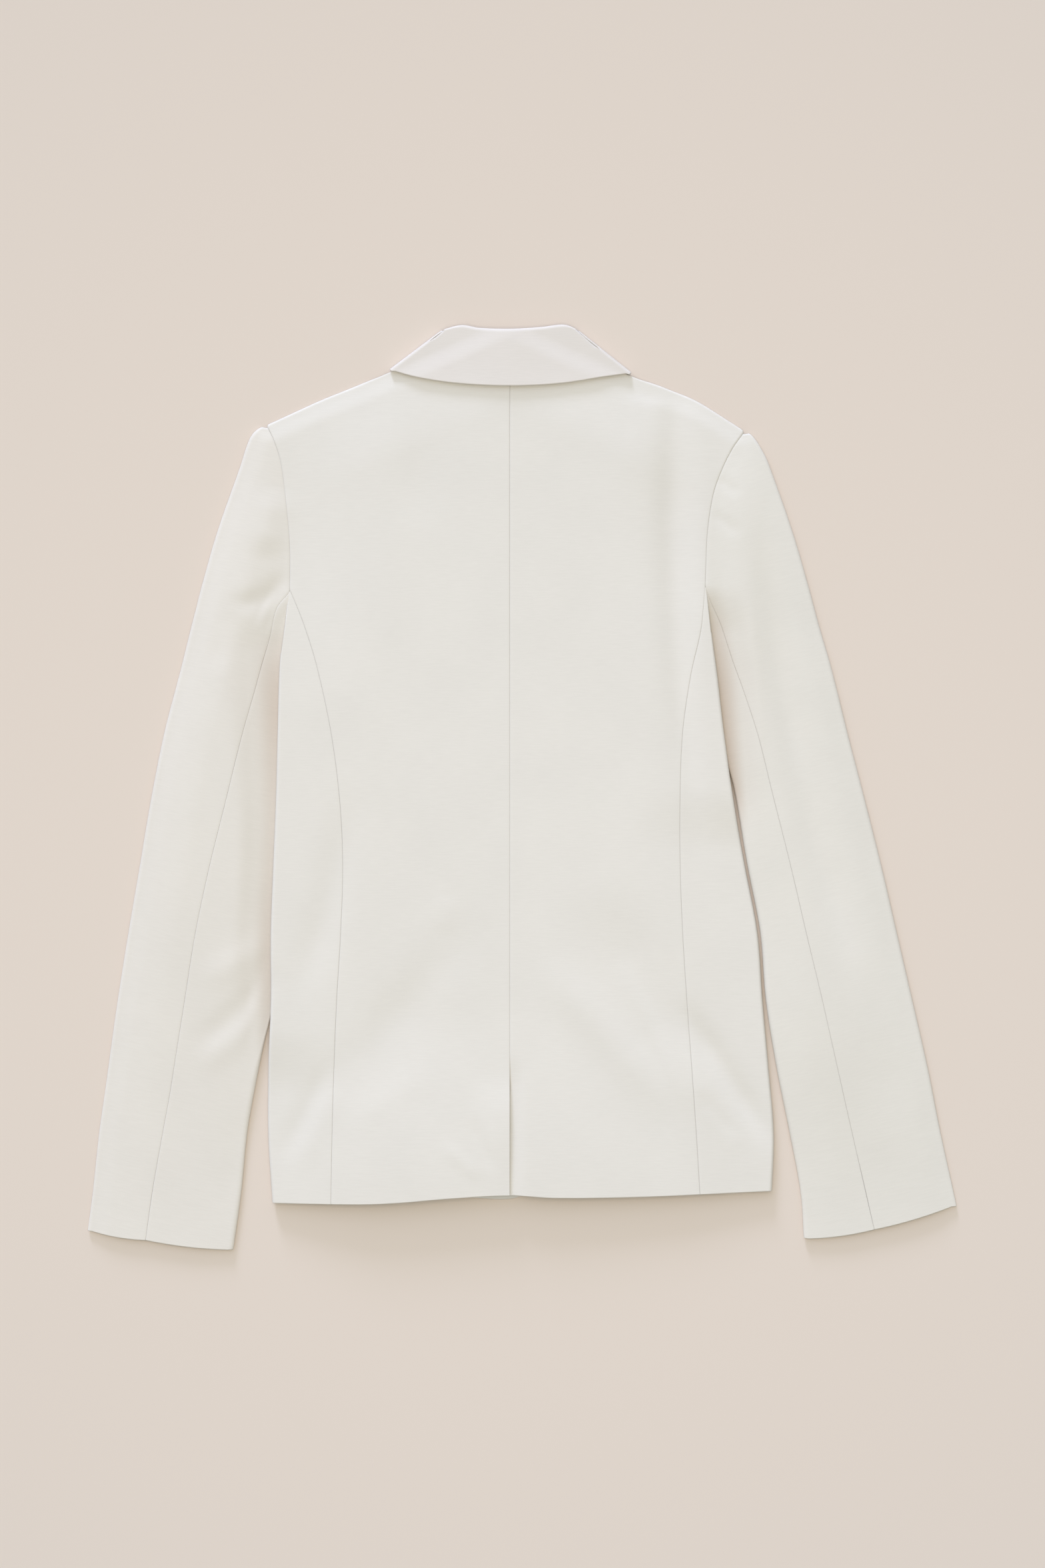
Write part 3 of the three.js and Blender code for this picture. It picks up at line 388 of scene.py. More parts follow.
# Across the hollow beside the body's edge, in its own widths: where the sleeve dips, where its crown starts
# again, and how far the painted shade in the hollow reaches, near the edge and in a wider, fainter tail
hollowForm = {
    "dip": (1, -0.15),
    "crown": (0.7, 1.8),
    "paintedShadeReach": (1, 0.15),
    "widePaintedShadeReach": (2.4, 0.8),
    "widePaintedShadeShare": 0.18,
}

def lift(side, y):        # how far the body is lifted over a tucked sleeve, 0 to 1
    up = ease(y, side["junction"][1], side["underarm"][1])
    return up * ease(y, side["tuckGone"], side["tuckEnd"])


def nearEdge(side, x, y):
    inside = (side["edgeLine"](y) - x) * side["dir"]
    return ease(inside, body["liftReach"] + body["liftFade"], body["liftReach"])


def bodyLow(side, x, y):
    return layer[0] + (2 * pitch + body["tuckRoom"]) * lift(side, y) * nearEdge(side, x, y)


def bodyTop(side, x, y):
    border = np.where(y > side["junction"][1], side["armholeLine"](y), side["edgeLine"](y))
    fromBorder = (border - x) * side["dir"]
    belowShoulder = side["shoulderLine"](x) - y
    crown = ease(fromBorder, -6, loft["backReach"]) * ease(belowShoulder, 0, loft["shoulderReach"])
    rise = hemLoft(x) * ease(y, body["hem"] + loft["hemReach"], body["hem"] + 8)
    height = layer[3] - pitch * ease(belowShoulder, cloth["taper"], 0) + loft["back"] * crown + rise
    rising = ease(y, side["junction"][1] + loft["riseAbove"], side["underarm"][1] - loft["riseBelow"])
    inside = (side["edgeLine"](y) - x) * side["dir"]
    rising = rising * ease(y, side["tuckGone"], side["tuckEnd"]) * ease(inside, loft["riseReach"], 0)
    return height + (pitch + body["tuckRoom"] + loft["edgeRise"]) * rising + creaseHeight(x, y)


def sleeveForm(side, x, y):
    onCap = y > side["junction"][1]
    fromOuter = (side["outerLine"](y) - x) * side["dir"]
    fromInner = (x - np.where(onCap, side["armholeLine"](y), side["innerLine"](y))) * side["dir"]
    sunk = lift(side, y)
    hollow = side["hollowWidth"](y)        # the sleeve dips beside the body's edge and goes under it
    fromEdge = (x - side["edgeLine"](y)) * side["dir"]
    dip = ease(fromEdge / hollow, *hollowForm["dip"])
    sink = np.where(onCap, 0, (2 * pitch - body["tuckRoom"]) * sunk * dip)
    onCuff = ease(y, side["cuff"]["seam"] + side["cuffReach"], side["cuff"]["seam"])
    besideHollow = np.where(onCap, 1, mix(1, ease(fromEdge / hollow, *hollowForm["crown"]), sunk))
    crown = ease(fromOuter, -2, loft["sleeveReach"]) * ease(fromInner, -8, loft["sleeveReach"])
    crown = crown * besideHollow * (1 - loft["cuffFlat"] * onCuff)
    height = layer[3] - pitch * cloth["sleeveTaper"] * ease(fromOuter, cloth["taper"], 0)
    height = height - sink - loft["cuffDrop"] * onCuff + loft["sleeve"] * crown
    return height + creaseHeight(x, y) * np.where(onCap, 1, 1 - sunk * ease(fromInner, 22, 10))


def sleeveTop(side, x, y):        # the sleeve's own form, brought level with the body at the armhole
    low = side["junction"][1]
    seamY = np.maximum(y, low + 0.1)
    seamX = side["armholeLine"](seamY)
    step = bodyTop(side, seamX, seamY) - sleeveForm(side, seamX, seamY)
    share = ease(np.abs(x - seamX), loft["armholeReach"], 0) * ease(y, low - 22, low)
    return sleeveForm(side, x, y) + step * share


# Grids: arrays of points by column, then row

def net(bottom, top, first, last, u, v):        # a flat net between four borders
    u = u[:, None, None]
    v = v[None, :, None]
    ruled = (1 - v) * bottom[:, None] + v * top[:, None] + (1 - u) * first[None] + u * last[None]
    corners = (1 - u) * ((1 - v) * bottom[0] + v * top[0]) + u * ((1 - v) * bottom[-1] + v * top[-1])
    return ruled - corners


def points(x, y, z):
    return np.stack(np.broadcast_arrays(x, y, z), axis=-1).astype(float)


rowCounts = {"low": 150, "high": 70, "shoulder": 7}


def bodyRows(side):        # where the rows lie on the outer border: along the seam, then the armhole
    low = steps(rowCounts["low"], 470)
    high = steps(rowCounts["high"])[1:]
    share = len(low) / (len(low) + len(high))
    return low, high, np.concatenate([low * share, share + high * (1 - share)])


def outerBorder(side, seam, hem, low, high):
    lowY = mix(hem, side["junction"][1], low)
    highY = mix(side["junction"][1], side["tip"][1] - foldRadius, high)
    lowX = seam(lowY)
    lowX[-1] = side["junction"][0]
    x = np.concatenate([lowX, side["armholeLine"](highY)])
    return np.stack([x, np.concatenate([lowY, highY])], axis=1)


def seamCurve(side, x):
    fromCentre = np.abs(x - centre) / abs(side["neck"][0] - centre)
    return side["neck"][1] - body["neckDrop"] * (1 - np.minimum(fromCentre, 1) ** 2)


# Rows over the shoulder's fold. Up is 1 on the back and -1 on the front.
def overShoulder(side, spots, up, low, high):
    onShoulder = np.abs(spots[:, 0] - centre) > abs(side["neck"][0] - centre) - 1
    middle = (low + high) / 2
    half = (high - low) / 2
    least = np.arcsin(np.minimum(body["shoulderGap"] / half, 0.7))
    rows = []
    for part in np.linspace(1, 0, rowCounts["shoulder"])[1:]:
        angle = mix(least, math.pi / 2, part)
        rise = np.where(onShoulder, foldRadius * np.cos(angle), foldRadius * (1 - part))
        level = np.where(onShoulder, middle + up * half * np.sin(angle), high if up > 0 else low)
        rows.append(points(spots[:, 0], spots[:, 1] + rise, level))
    return np.stack(rows, axis=1)


def frontLow(side, x, y):        # the fronts lie on their own lapels and collar
    reach = reachOfLapel(np.maximum(y, body["lapelBreak"]))
    fromCentre = np.abs(x - centre)
    raised = ease(fromCentre, reach + 22, reach + 3)
    raised = raised * ease(y, body["lapelBreak"] - 23, body["lapelBreak"] - 3)
    return np.maximum(bodyLow(side, x, y), layer[0] + pitch * raised)


def leftFrontLow(side, x, y):        # and the left one on the edge of the right one
    rightEdge = frontPiece["edgeLines"]["right"](y)
    overlap = ease(x, rightEdge - 42, rightEdge - 15)
    overlap = overlap * ease(y, body["lapelBreak"] - 5, body["lapelBreak"] - 22)
    return np.maximum(frontLow(side, x, y), layer[0] + pitch * overlap)


# Backs
backPiece = {"columns": 90, "width": 140}


def backGrid(side):
    low, high, v = bodyRows(side)
    u = steps(backPiece["columns"], backPiece["width"])
    outer = outerBorder(side, side["princessLine"], hemOfBack(side["princessLine"](body["hem"])), low, high)
    topX = mix(centre, side["armholeLine"](side["tip"][1] - foldRadius), u)
    onNeck = np.abs(topX - centre) < abs(side["neck"][0] - centre)
    shoulderY = side["shoulderLine"](topX) - cloth["wall"] / 2
    topY = np.where(onNeck, seamCurve(side, topX), shoulderY) - foldRadius
    top = np.stack([topX, topY], axis=1)
    top[-1] = outer[-1]
    bottomX = mix(centre, outer[0, 0], u)
    bottom = np.stack([bottomX, hemOfBack(bottomX)], axis=1)
    bottom[-1] = outer[0]
    middle = np.stack([np.full_like(v, centre), mix(hemOfBack(centre), top[0, 1], v)], axis=1)
    flat = net(bottom, top, middle, outer, u, v)
    x = flat[..., 0]
    y = flat[..., 1]
    grid = points(x, y, bodyTop(side, x, y))
    last = flat[:, -1]
    lowest = frontLow(side, last[:, 0], last[:, 1])
    highest = bodyTop(side, last[:, 0], last[:, 1])
    return np.concatenate([grid, overShoulder(side, last, 1, lowest, highest)], axis=1)


def seamDip(grid, column):        # how deep the cloth dips beside the seam along its first or last column
    gaps = np.linalg.norm(np.diff(grid, axis=0), axis=2)
    if column == "last":
        gaps = gaps[::-1]
    distance = np.concatenate([np.zeros((1, grid.shape[1])), np.cumsum(gaps, axis=0)])
    dip = np.exp(-(distance / cloth["seamWidth"]) ** 2)
    return dip if column == "first" else dip[::-1]


def armholeDip(side, grid, column):        # a seam's dip, deeper along the armhole
    onArmhole = ease(grid[..., 1], side["junction"][1] - 8, side["junction"][1] + 8)
    return seamDip(grid, column) * (1 + cloth["armholeDepth"] * onArmhole)

def buildBack(name):
    side = sides[name]
    grid = backGrid(side)
    overVent = ease(grid[..., 1], body["ventTop"] - 6, body["ventTop"] + 6)
    seam = np.maximum(seamDip(grid, "first") * overVent, armholeDip(side, grid, "last"))
    cells = None
    if name == "left":        # the upper flap of the vent stands off the lower one
        onFlap = ease(grid[..., 1], body["ventTop"] + 10, body["ventTop"] - 24)
        onFlap *= mix(1, loft["ventFade"], ease(grid[..., 1], body["ventTop"] - 30, body["hem"] + 5))
        grid[..., 2] += loft["ventLift"] * onFlap * ease(centre - grid[..., 0], loft["ventReach"], 0)
    if name == "right":        # the vent's underlap, in the lowest rows only
        parts = np.linspace(1, 0, 15)[:-1]
        underlap = np.stack([grid[0] - np.array([part * body["ventUnderlap"], 0, 0]) for part in parts])
        grid = np.concatenate([underlap, grid])
        seam = np.concatenate([np.zeros(underlap.shape[:2]), seam])
        step = ease(grid[..., 0], centre + body["ventStep"], centre)
        grid[..., 2] -= pitch * step * ease(grid[..., 1], body["ventTop"] + 25, body["ventTop"] - 5)
        cells = np.ones((grid.shape[0] - 1, grid.shape[1] - 1), bool)
        cells[:len(underlap)] = (grid[0, 1:, 1] < body["ventTop"] - 4)[None]
    addCloth({
        "name": "back" + name.capitalize(),
        "node": "back_" + name,
        "slot": "body_knit",
        "restsOn": ["front" + name.capitalize()],
        "material": bodyKnit,
    }, grid, seam, cells)


# Side panels: from the princess seam round the body's edge to the side seam of the front
sidePiece = {"above": 26, "round": 10, "below": 12, "levelShare": 12 / 14, "rowDrop": 6}


# Rows along an edge: level with the seam's rows, then up to the underarm
def edgeRows(side, low, seamLow, underarm, part):
    levelShare = sidePiece["levelShare"]
    level = mix(seamLow, side["junction"][1], levelShare) - sidePiece["rowDrop"]
    beyond = (part - levelShare) / (1 - levelShare)
    return np.where(part <= levelShare, mix(low, level, part / levelShare),
                    underarm - (underarm - level) * (1 - beyond) ** 2)


# Cloth round a side fold: the layer above, the fold, the layer below
def foldedGrid(start, fold, end, inward, radius, above, below, counts, aboveLength):
    radius = np.broadcast_to(radius, len(fold))
    turn = fold + np.stack([inward * radius, np.zeros_like(radius)], axis=1)
    part = steps(counts["above"], aboveLength)[:, None, None]
    high = mix(start[None], turn[None], part)
    high = points(high[..., 0], high[..., 1], above(high[..., 0], high[..., 1]))
    part = steps(counts["below"])[:, None, None]
    low = mix(turn[None], end[None], part)
    low = points(low[..., 0], low[..., 1], below(low[..., 0], low[..., 1]))
    angle = (0.5 - steps(counts["round"])[1:-1, None]) * math.pi
    highZ = high[-1, :, 2]
    lowZ = low[0, :, 2]
    arc = points(
        fold[:, 0] + inward * radius * (1 - np.cos(angle)),
        fold[:, 1],
        (highZ + lowZ) / 2 + (highZ - lowZ) / 2 * np.sin(angle),
    )
    return np.concatenate([high, arc, low])


def buildSide(name):
    side = sides[name]
    part = steps(rowCounts["low"], 470)
    hem = hemOfBack(side["princessLine"](body["hem"]))
    above = mix(hem, side["junction"][1], part)
    fold = edgeRows(side, hemOfBack(side["edgeLine"](body["hem"])), hem, side["underarm"][1], part)
    start = np.stack([side["princessLine"](above), above], axis=1)
    edge = np.stack([side["edgeLine"](fold) - side["dir"] * cloth["wall"] / 2, fold], axis=1)
    end = np.stack([side["sideSeamLine"](above), above], axis=1)
    start[-1, 0] = side["junction"][0]
    end[-1, 0] = side["junction"][0]
    radius = mix(cloth["panelTop"], cloth["panelFold"], ease(side["underarm"][1] - fold, 0, 30))
    grid = foldedGrid(
        start, edge, end, -side["dir"], radius,
        lambda x, y: bodyTop(side, x, y), lambda x, y: bodyLow(side, x, y), sidePiece, 50,
    )
    border = grid[:, -1]        # sewn to the sleeve under the arm
    meets = sleeveTop(side, border[:, 0], border[:, 1]) + pitch / 2
    border[:, 2] = np.minimum(border[:, 2], meets)
    seam = seamDip(grid, "first")
    addCloth({
        "name": "side" + name.capitalize(),
        "node": "side_" + name,
        "slot": "body_knit",
        "restsOn": ["sleeveUnder" + name.capitalize()],
        "material": bodyKnit,
    }, grid, seam)


# Sleeves: an upper piece over the outer fold, an under piece over the inner one
upperSleevePiece = {"above": 44, "round": 12, "below": 16}
underSleevePiece = {"above": 28, "round": 8, "below": 8}


def sleeveRows(side, part):
    top = side["junction"][1]
    return {
        "back": mix(side["cuff"]["seam"], top, part),
        "front": mix(side["cuff"]["front"], top, part),
        "outer": mix(side["cuff"]["outer"], side["sleeveTop"]["junction"], part),
        "inner": edgeRows(side, side["cuff"]["inner"], side["cuff"]["seam"], side["sleeveUnderarm"], part),
    }


cuffBow = {"depth": 1.7, "reach": 70}


def bowCuff(side, grid, border):        # the cuff's edge bows down between the back seam and a fold
    cuff = side["cuff"]["seam"]
    seamX = side["backSeamLine"](cuff)
    foldX = side[border + "Line"](cuff)
    part = np.clip((grid[..., 0] - seamX) / (foldX - seamX), 0, 1)
    bow = 4 * part * (1 - part) * ease(grid[..., 1], cuff + cuffBow["reach"], cuff)
    grid[..., 1] -= cuffBow["depth"] * bow


def paintedHollowShade(side, grid):        # painted shade: a warmer, darker colour down in the hollow beside the body, where its shadow falls
    x = grid[..., 0]
    y = grid[..., 1]
    part = (x - side["edgeLine"](y)) * side["dir"] / side["hollowWidth"](y)
    # how strong the painted shade is along the hollow
    depth = np.clip(side["hollowDepth"](y), 0, 1)
    depth = depth * ease(y, side["junction"][1] + 5, side["junction"][1] - 10)
    wide = hollowForm["widePaintedShadeShare"]
    across = (1 - wide) * ease(part, *hollowForm["paintedShadeReach"]) + wide * ease(part, *hollowForm["widePaintedShadeReach"])
    return depth * ease(y, side["tuckGone"], side["tuckEnd"]) * across


def addSleeve(name, part, grid, seam):
    addCloth({
        "name": "sleeve" + part.capitalize() + name.capitalize(),
        "node": "sleeve_" + part + "_" + name,
        "slot": "sleeve_knit",
        "restsOn": ["floor"],
        "material": sleeveKnit[name],
        "hollow": paintedHollowShade(sides[name], grid),
    }, grid, seam)

def buildUpperSleeve(name):
    side = sides[name]
    rows = sleeveRows(side, steps(rowCounts["low"], 500))
    high = steps(rowCounts["high"])[1:]
    capY = mix(side["junction"][1], side["tip"][1] - foldRadius, high)
    outerY = mix(side["sleeveTop"]["junction"], side["sleeveTop"]["outer"], high)
    backX = side["backSeamLine"](rows["back"])
    frontX = side["frontSeamLine"](rows["front"])
    backX[-1] = side["armholeLine"](side["junction"][1])
    frontX[-1] = backX[-1]
    capX = side["armholeLine"](capY)
    start = np.stack([np.concatenate([backX, capX]), np.concatenate([rows["back"], capY])], axis=1)
    end = np.stack([np.concatenate([frontX, capX]), np.concatenate([rows["front"], capY])], axis=1)
    outer = np.concatenate([rows["outer"], outerY])
    fold = np.stack([side["outerLine"](outer) - side["dir"] * cloth["wall"] / 2, outer], axis=1)
    narrow = np.abs(capX - side["outerLine"](outerY)) / 3
    radius = np.concatenate([np.full_like(backX, cloth["sideFold"]), np.minimum(cloth["sideFold"], narrow)])
    grid = foldedGrid(
        start, fold, end, -side["dir"], radius,
        lambda x, y: sleeveTop(side, x, y), lambda x, y: np.full_like(x, layer[0]), upperSleevePiece, 70,
    )
    bowCuff(side, grid, "outer")
    addSleeve(name, "upper", grid, armholeDip(side, grid, "first"))


def buildUnderSleeve(name):
    side = sides[name]
    rows = sleeveRows(side, steps(rowCounts["low"], 500))
    start = np.stack([side["backSeamLine"](rows["back"]), rows["back"]], axis=1)
    end = np.stack([side["frontSeamLine"](rows["front"]), rows["front"]], axis=1)
    start[-1, 0] = side["junction"][0]
    end[-1, 0] = side["junction"][0]
    foldX = side["innerLine"](rows["inner"]) + side["dir"] * cloth["wall"] / 2
    fold = np.stack([foldX, rows["inner"]], axis=1)
    radius = mix(cloth["sideFold"], (pitch + body["tuckRoom"]) / 2, lift(side, rows["inner"]))
    grid = foldedGrid(
        start, fold, end, side["dir"], radius,
        lambda x, y: sleeveTop(side, x, y), lambda x, y: np.full_like(x, layer[0]), underSleevePiece, 60,
    )
    bowCuff(side, grid, "inner")
    addSleeve(name, "under", grid, seamDip(grid, "first"))


# Fronts, right over left, each with its lapel folded under
frontPiece = {
    "finer": 4,        # grid steps to each one of the solid's
    "lowerRows": 14,
    "armholeRows": 8,
    "breakRow": 8,
    "neckShare": 0.77,
    "shoulderColumns": 22,
    "neckColumns": 8,
    "gorgeSpread": 1.04,
    "lapelTop": 272,
    "edges": {
        "left": table("y x", (-75, -13), (-100, -10.5), (-145, 3), (-320, 3)),
        "right": table("y x", (-75, -6), (-100, -8.5), (-145, -22), (-320, -22)),
    },
}
frontPiece["edgeLines"] = {name: curve(rows, "y", "x") for name, rows in frontPiece["edges"].items()}
reachOfLapel = curve(
    table("y x", (330, 96), (300, 98), (272, 104), (200, 92), (100, 68), (0, 38), (-75, 10)), "y", "x")
edgeOfLapel = curve(table("y x", (272, 100.5), (200, 88.5), (100, 64.5), (0, 34.5), (-75, 7.5)), "y", "x")


def buildFront(name):
    side = sides[name]
    low = leftFrontLow if name == "left" else frontLow
    frontEdge = frontPiece["edgeLines"][name]
    finer = frontPiece["finer"]
    lowerRows = frontPiece["lowerRows"] * finer
    rows = lowerRows + frontPiece["armholeRows"] * finer
    breakRow = frontPiece["breakRow"] * finer
    seam = side["sideSeamLine"]
    outer = outerBorder(
        side, seam, hemOfFront(seam(body["hem"])), steps(lowerRows), steps(rows - lowerRows)[1:])
    bottomY = hemOfFront(frontEdge(body["hem"]))
    rollY = np.concatenate([
        mix(bottomY, body["lapelBreak"], steps(breakRow)),
        mix(body["lapelBreak"], body["gorge"], steps(rows - breakRow)[1:]),
    ])
    along = (rollY - body["lapelBreak"]) / (body["gorge"] - body["lapelBreak"])
    rollX = np.where(along < 0, frontEdge(rollY), mix(side["roll"]["bottom"], side["roll"]["top"], along))
    roll = np.stack([rollX, rollY], axis=1)
    neckShare = frontPiece["neckShare"]
    columns = frontPiece["shoulderColumns"]
    onNeck = steps(frontPiece["neckColumns"])[1:]
    u = np.concatenate([neckShare * steps(columns), neckShare + (1 - neckShare) * onNeck])
    v = steps(rows)
    tip = outer[-1]
    shoulderX = mix(tip[0], side["neck"][0], u / neckShare)
    gorgeX = centre + (collarPiece["ends"][name]["seam"][0] - centre) * frontPiece["gorgeSpread"]
    beyond = (u - neckShare) / (1 - neckShare)

    def alongNeck(first, gorge, last):
        return np.where(beyond < 0.5, mix(first, gorge, 2 * beyond), mix(gorge, last, 2 * beyond - 1))
    neckX = alongNeck(side["neck"][0], gorgeX, rollX[-1])
    shoulderY = side["shoulderLine"](shoulderX) - cloth["wall"] / 2 - foldRadius
    lastY = side["shoulderLine"](side["neck"][0]) - cloth["wall"] / 2 - foldRadius
    neckY = alongNeck(lastY, body["gorge"] + 2, rollY[-1])
    top = np.stack([np.where(beyond > 0, neckX, shoulderX), np.where(beyond > 0, neckY, shoulderY)], axis=1)
    top[0] = tip
    bottomX = mix(outer[0, 0], roll[0, 0], u)
    bottom = np.stack([bottomX, hemOfFront(bottomX)], axis=1)
    bottom[0] = outer[0]
    bottom[-1] = roll[0]
    flat = net(bottom, top, outer, roll, u, v)
    x = flat[..., 0]
    y = flat[..., 1]
    grid = points(x, y, low(side, x, y))
    last = flat[:, -1]
    fold = overShoulder(
        side, last, -1, low(side, last[:, 0], last[:, 1]), bodyTop(side, last[:, 0], last[:, 1]))
    grid = np.concatenate([grid, fold], axis=1)
    edge = grid[-1]
    radius = pitch / 2
    turned = [
        points(edge[:, 0] - side["dir"] * radius * math.sin(angle), edge[:, 1],
               edge[:, 2] - radius + radius * math.cos(angle))
        for angle in np.linspace(0, math.pi, 7)[1:]
    ]
    rollSpots = roll[np.minimum(np.arange(len(edge)), rows)]
    lapelShare = np.maximum((rollSpots[:, 1] - body["lapelBreak"]) / (body["gorge"] - body["lapelBreak"]), 0)
    lapelY = mix(body["lapelBreak"], frontPiece["lapelTop"], lapelShare)
    lapelX = centre + side["dir"] * edgeOfLapel(lapelY)
    wide = [
        points(mix(rollSpots[:, 0], lapelX, part), mix(rollSpots[:, 1], lapelY, part), layer[0])
        for part in np.linspace(0, 1, 11)[1:]
    ]
    flatColumns = len(grid)
    grid = np.concatenate([grid, np.stack(turned + wide)])
    cells = np.ones((grid.shape[0] - 1, grid.shape[1] - 1), bool)
    cells[columns:, rows:] = False
    cells[flatColumns - 1:, :breakRow] = False
    addCloth({
        "name": "front" + name.capitalize(),
        "node": "front_" + name,
        "slot": "body_knit",
        "restsOn": ["floor"],
        "material": bodyKnit,
    }, grid, cells=cells)


# Collar, from the seam of its stand over the roll to the edge of its fall
collarPiece = {
    "ends": {
        "left": {"roll": (-54, 303), "fall": (-101, 284), "seam": (-66, 305)},
        "right": {"roll": (35, 303), "fall": (80, 282), "seam": (47, 305)},
    },
    "rollEnd": {"left": -62.5, "right": 44},
    "fallEnd": {"left": -103, "right": 85},
    "puff": 1.0,
    "fallLift": 2.1,        # how far the edge of the fall stands off the back
    "standNest": 2.1,
    "standSeamGap": 1.6,
    "slopeRadius": 3.2,
    "stations": 44,
    "foldStations": 10,
    "underStations": 14,
    "standRows": 12,
    "fallRows": 28,
    "standPuff": 0.6,
    "blendReach": 25,        # the two backs under the fall are blended this far from the centre
    "blendSoftness": 1.2,
}
rollOfCollar = curve(table(
    "x y",
    (-63, 355.6), (-47, 359.4), (-34, 357.3), (-10, 356.3), (16, 358), (33, 359.7), (44.5, 355.2),
), "x", "y")
edgeOfFall = curve(table(
    "x y",
    (-103.5, 325.4), (-83, 319.3), (-50, 314.1), (-9, 312), (30, 314.1), (63, 319.3), (85.5, 322.8),
), "x", "y")


def collarSection(station):
    roll = np.array(station["roll"], float)
    standRoll = np.array(station.get("standRoll", roll), float)
    seamAt = np.array(station["seam"], float)
    fallAt = np.array(station["fall"], float)
    inward = np.array(station.get("inward", (0, 0)), float)
    nest = collarPiece["standNest"] * station.get("turn", 0)
    puff = station.get("puff", 0)
    standPuff = puff * collarPiece["standPuff"]
    fallReach = np.linalg.norm(fallAt - roll)
    beyond = (roll - fallAt) / fallReach
    fallZ = station["fallZ"](*roll) + puff
    standZ = station["standZ"](*standRoll) - standPuff
    radius = max(abs(fallZ - standZ), nest) / 2
    stand = []
    for part in steps(collarPiece["standRows"]):
        place = mix(seamAt, standRoll - beyond * radius, part) + inward * nest
        stand.append([*place, station["standZ"](*place) - standPuff * part])
    fall = []
    for part in steps(collarPiece["fallRows"], fallReach):
        place = mix(roll - beyond * radius, fallAt, part)
        fall.append([*place, station["fallZ"](*place) + puff * (1 - float(ease(part, 0, 0.9)))])
    bend = []
    for angle in np.linspace(-math.pi / 2, math.pi / 2, 11)[1:-1]:
        share = (1 + math.sin(angle)) / 2
        place = mix(standRoll, roll, share) + inward * nest * (1 - share)
        place = place - beyond * radius * (1 - math.cos(angle))
        bend.append([*place, mix(stand[-1][2], fall[0][2], share)])
    return np.array(stand + bend + fall)


def collarSide(name):
    side = sides[name]
    ends = collarPiece["ends"][name]
    slopeRoll = np.array([collarPiece["rollEnd"][name], float(rollOfCollar(collarPiece["rollEnd"][name]))])
    slopeFall = np.array([collarPiece["fallEnd"][name], float(edgeOfFall(collarPiece["fallEnd"][name]))])
    slope = (slopeFall - slopeRoll) / np.linalg.norm(slopeFall - slopeRoll)
    inward = np.array([slope[1], -slope[0]]) * side["dir"]
    slopeSeam = np.array([side["neck"][0], side["neck"][1] + collarPiece["standSeamGap"]])
    seamGap = collarPiece["standSeamGap"]

    def overBack(x, y, height):
        onSide = [float(bodyTop(sides[each], np.array(x), np.array(y))) for each in ("left", "right")]
        reach = collarPiece["blendReach"]
        over = mix(*onSide, float(ease(x, centre - reach, centre + reach))) + pitch + collarPiece["fallLift"]
        return (height + over + math.hypot(height - over, collarPiece["blendSoftness"])) / 2
    stations = []
    for part in steps(collarPiece["stations"])[:-1]:
        radius = collarPiece["slopeRadius"]
        x = mix(centre, slopeRoll[0] + inward[0] * radius, part)
        fallX = mix(centre, slopeFall[0] + inward[0] * radius, part)
        seamX = mix(centre, slopeSeam[0] + inward[0] * radius, part)
        down = float(ease(part, 0, 1))
        stations.append({
            "roll": (x, float(rollOfCollar(x))),
            "fall": (fallX, float(edgeOfFall(fallX))),
            "seam": (seamX, float(seamCurve(side, seamX)) + seamGap),
            "puff": collarPiece["puff"] * (1 - down),
            "standZ": lambda x, y, down=down: mix(layer[3], layer[2], down),
            "fallZ": lambda x, y, down=down: overBack(x, y, mix(layer[4], layer[3], down)),
        })
    for part in mix(1, -1, steps(collarPiece["foldStations"])):
        angle = part * math.pi / 2
        offset = inward * foldRadius * (1 - math.cos(angle))
        standOffset = inward * (layer[2] - layer[1]) / 2 * (1 - math.cos(angle))
        standLevel = (layer[2] + layer[1]) / 2 + (layer[2] - layer[1]) / 2 * math.sin(angle)
        over = (1 + math.sin(angle)) / 2
        stations.append({
            "roll": slopeRoll + offset,
            "standRoll": slopeRoll + standOffset,
            "fall": slopeFall + offset,
            "seam": slopeSeam + standOffset,
            "inward": inward,
            "turn": 1,
            "standZ": lambda x, y, level=standLevel: level,
            "fallZ": lambda x, y, over=over: mix(layer[0], overBack(x, y, layer[3]), over),
        })
    for part in steps(collarPiece["underStations"])[1:]:
        stations.append({
            "roll": mix(slopeRoll, np.array(ends["roll"]), part),
            "fall": mix(slopeFall, np.array(ends["fall"]), part),
            "seam": mix(slopeSeam, np.array(ends["seam"]), part),
            "standZ": lambda x, y: layer[1],
            "fallZ": lambda x, y: layer[0],
        })
    return [collarSection(station) for station in stations]


def buildCollar():
    left = collarSide("left")[::-1]
    right = collarSide("right")[1:]
    grid = np.stack(left + right)
    addCloth({
        "name": "collar",
        "node": "collar",
        "slot": "collar_knit",
        "restsOn": ["backLeft", "backRight"],
        "material": collarKnit,
        "topEdge": "edgeRound",
    }, grid)


# Turning a grid into cloth: two faces with a rounded edge between them

def drawnIn(grid, atSeams, atHem, atTop):
    drawn = grid.copy()
    for border, beside, distance in (
        ((0,), (1,), atSeams), ((-1,), (-2,), atSeams),
        ((slice(None), 0), (slice(None), 1), atHem), ((slice(None), -1), (slice(None), -2), atTop),
    ):
        toward = grid[beside] - grid[border]
        length = np.maximum(np.linalg.norm(toward, axis=-1, keepdims=True), 1e-9)
        drawn[border] += toward / length * np.minimum(distance, 0.8 * length)
    return drawn


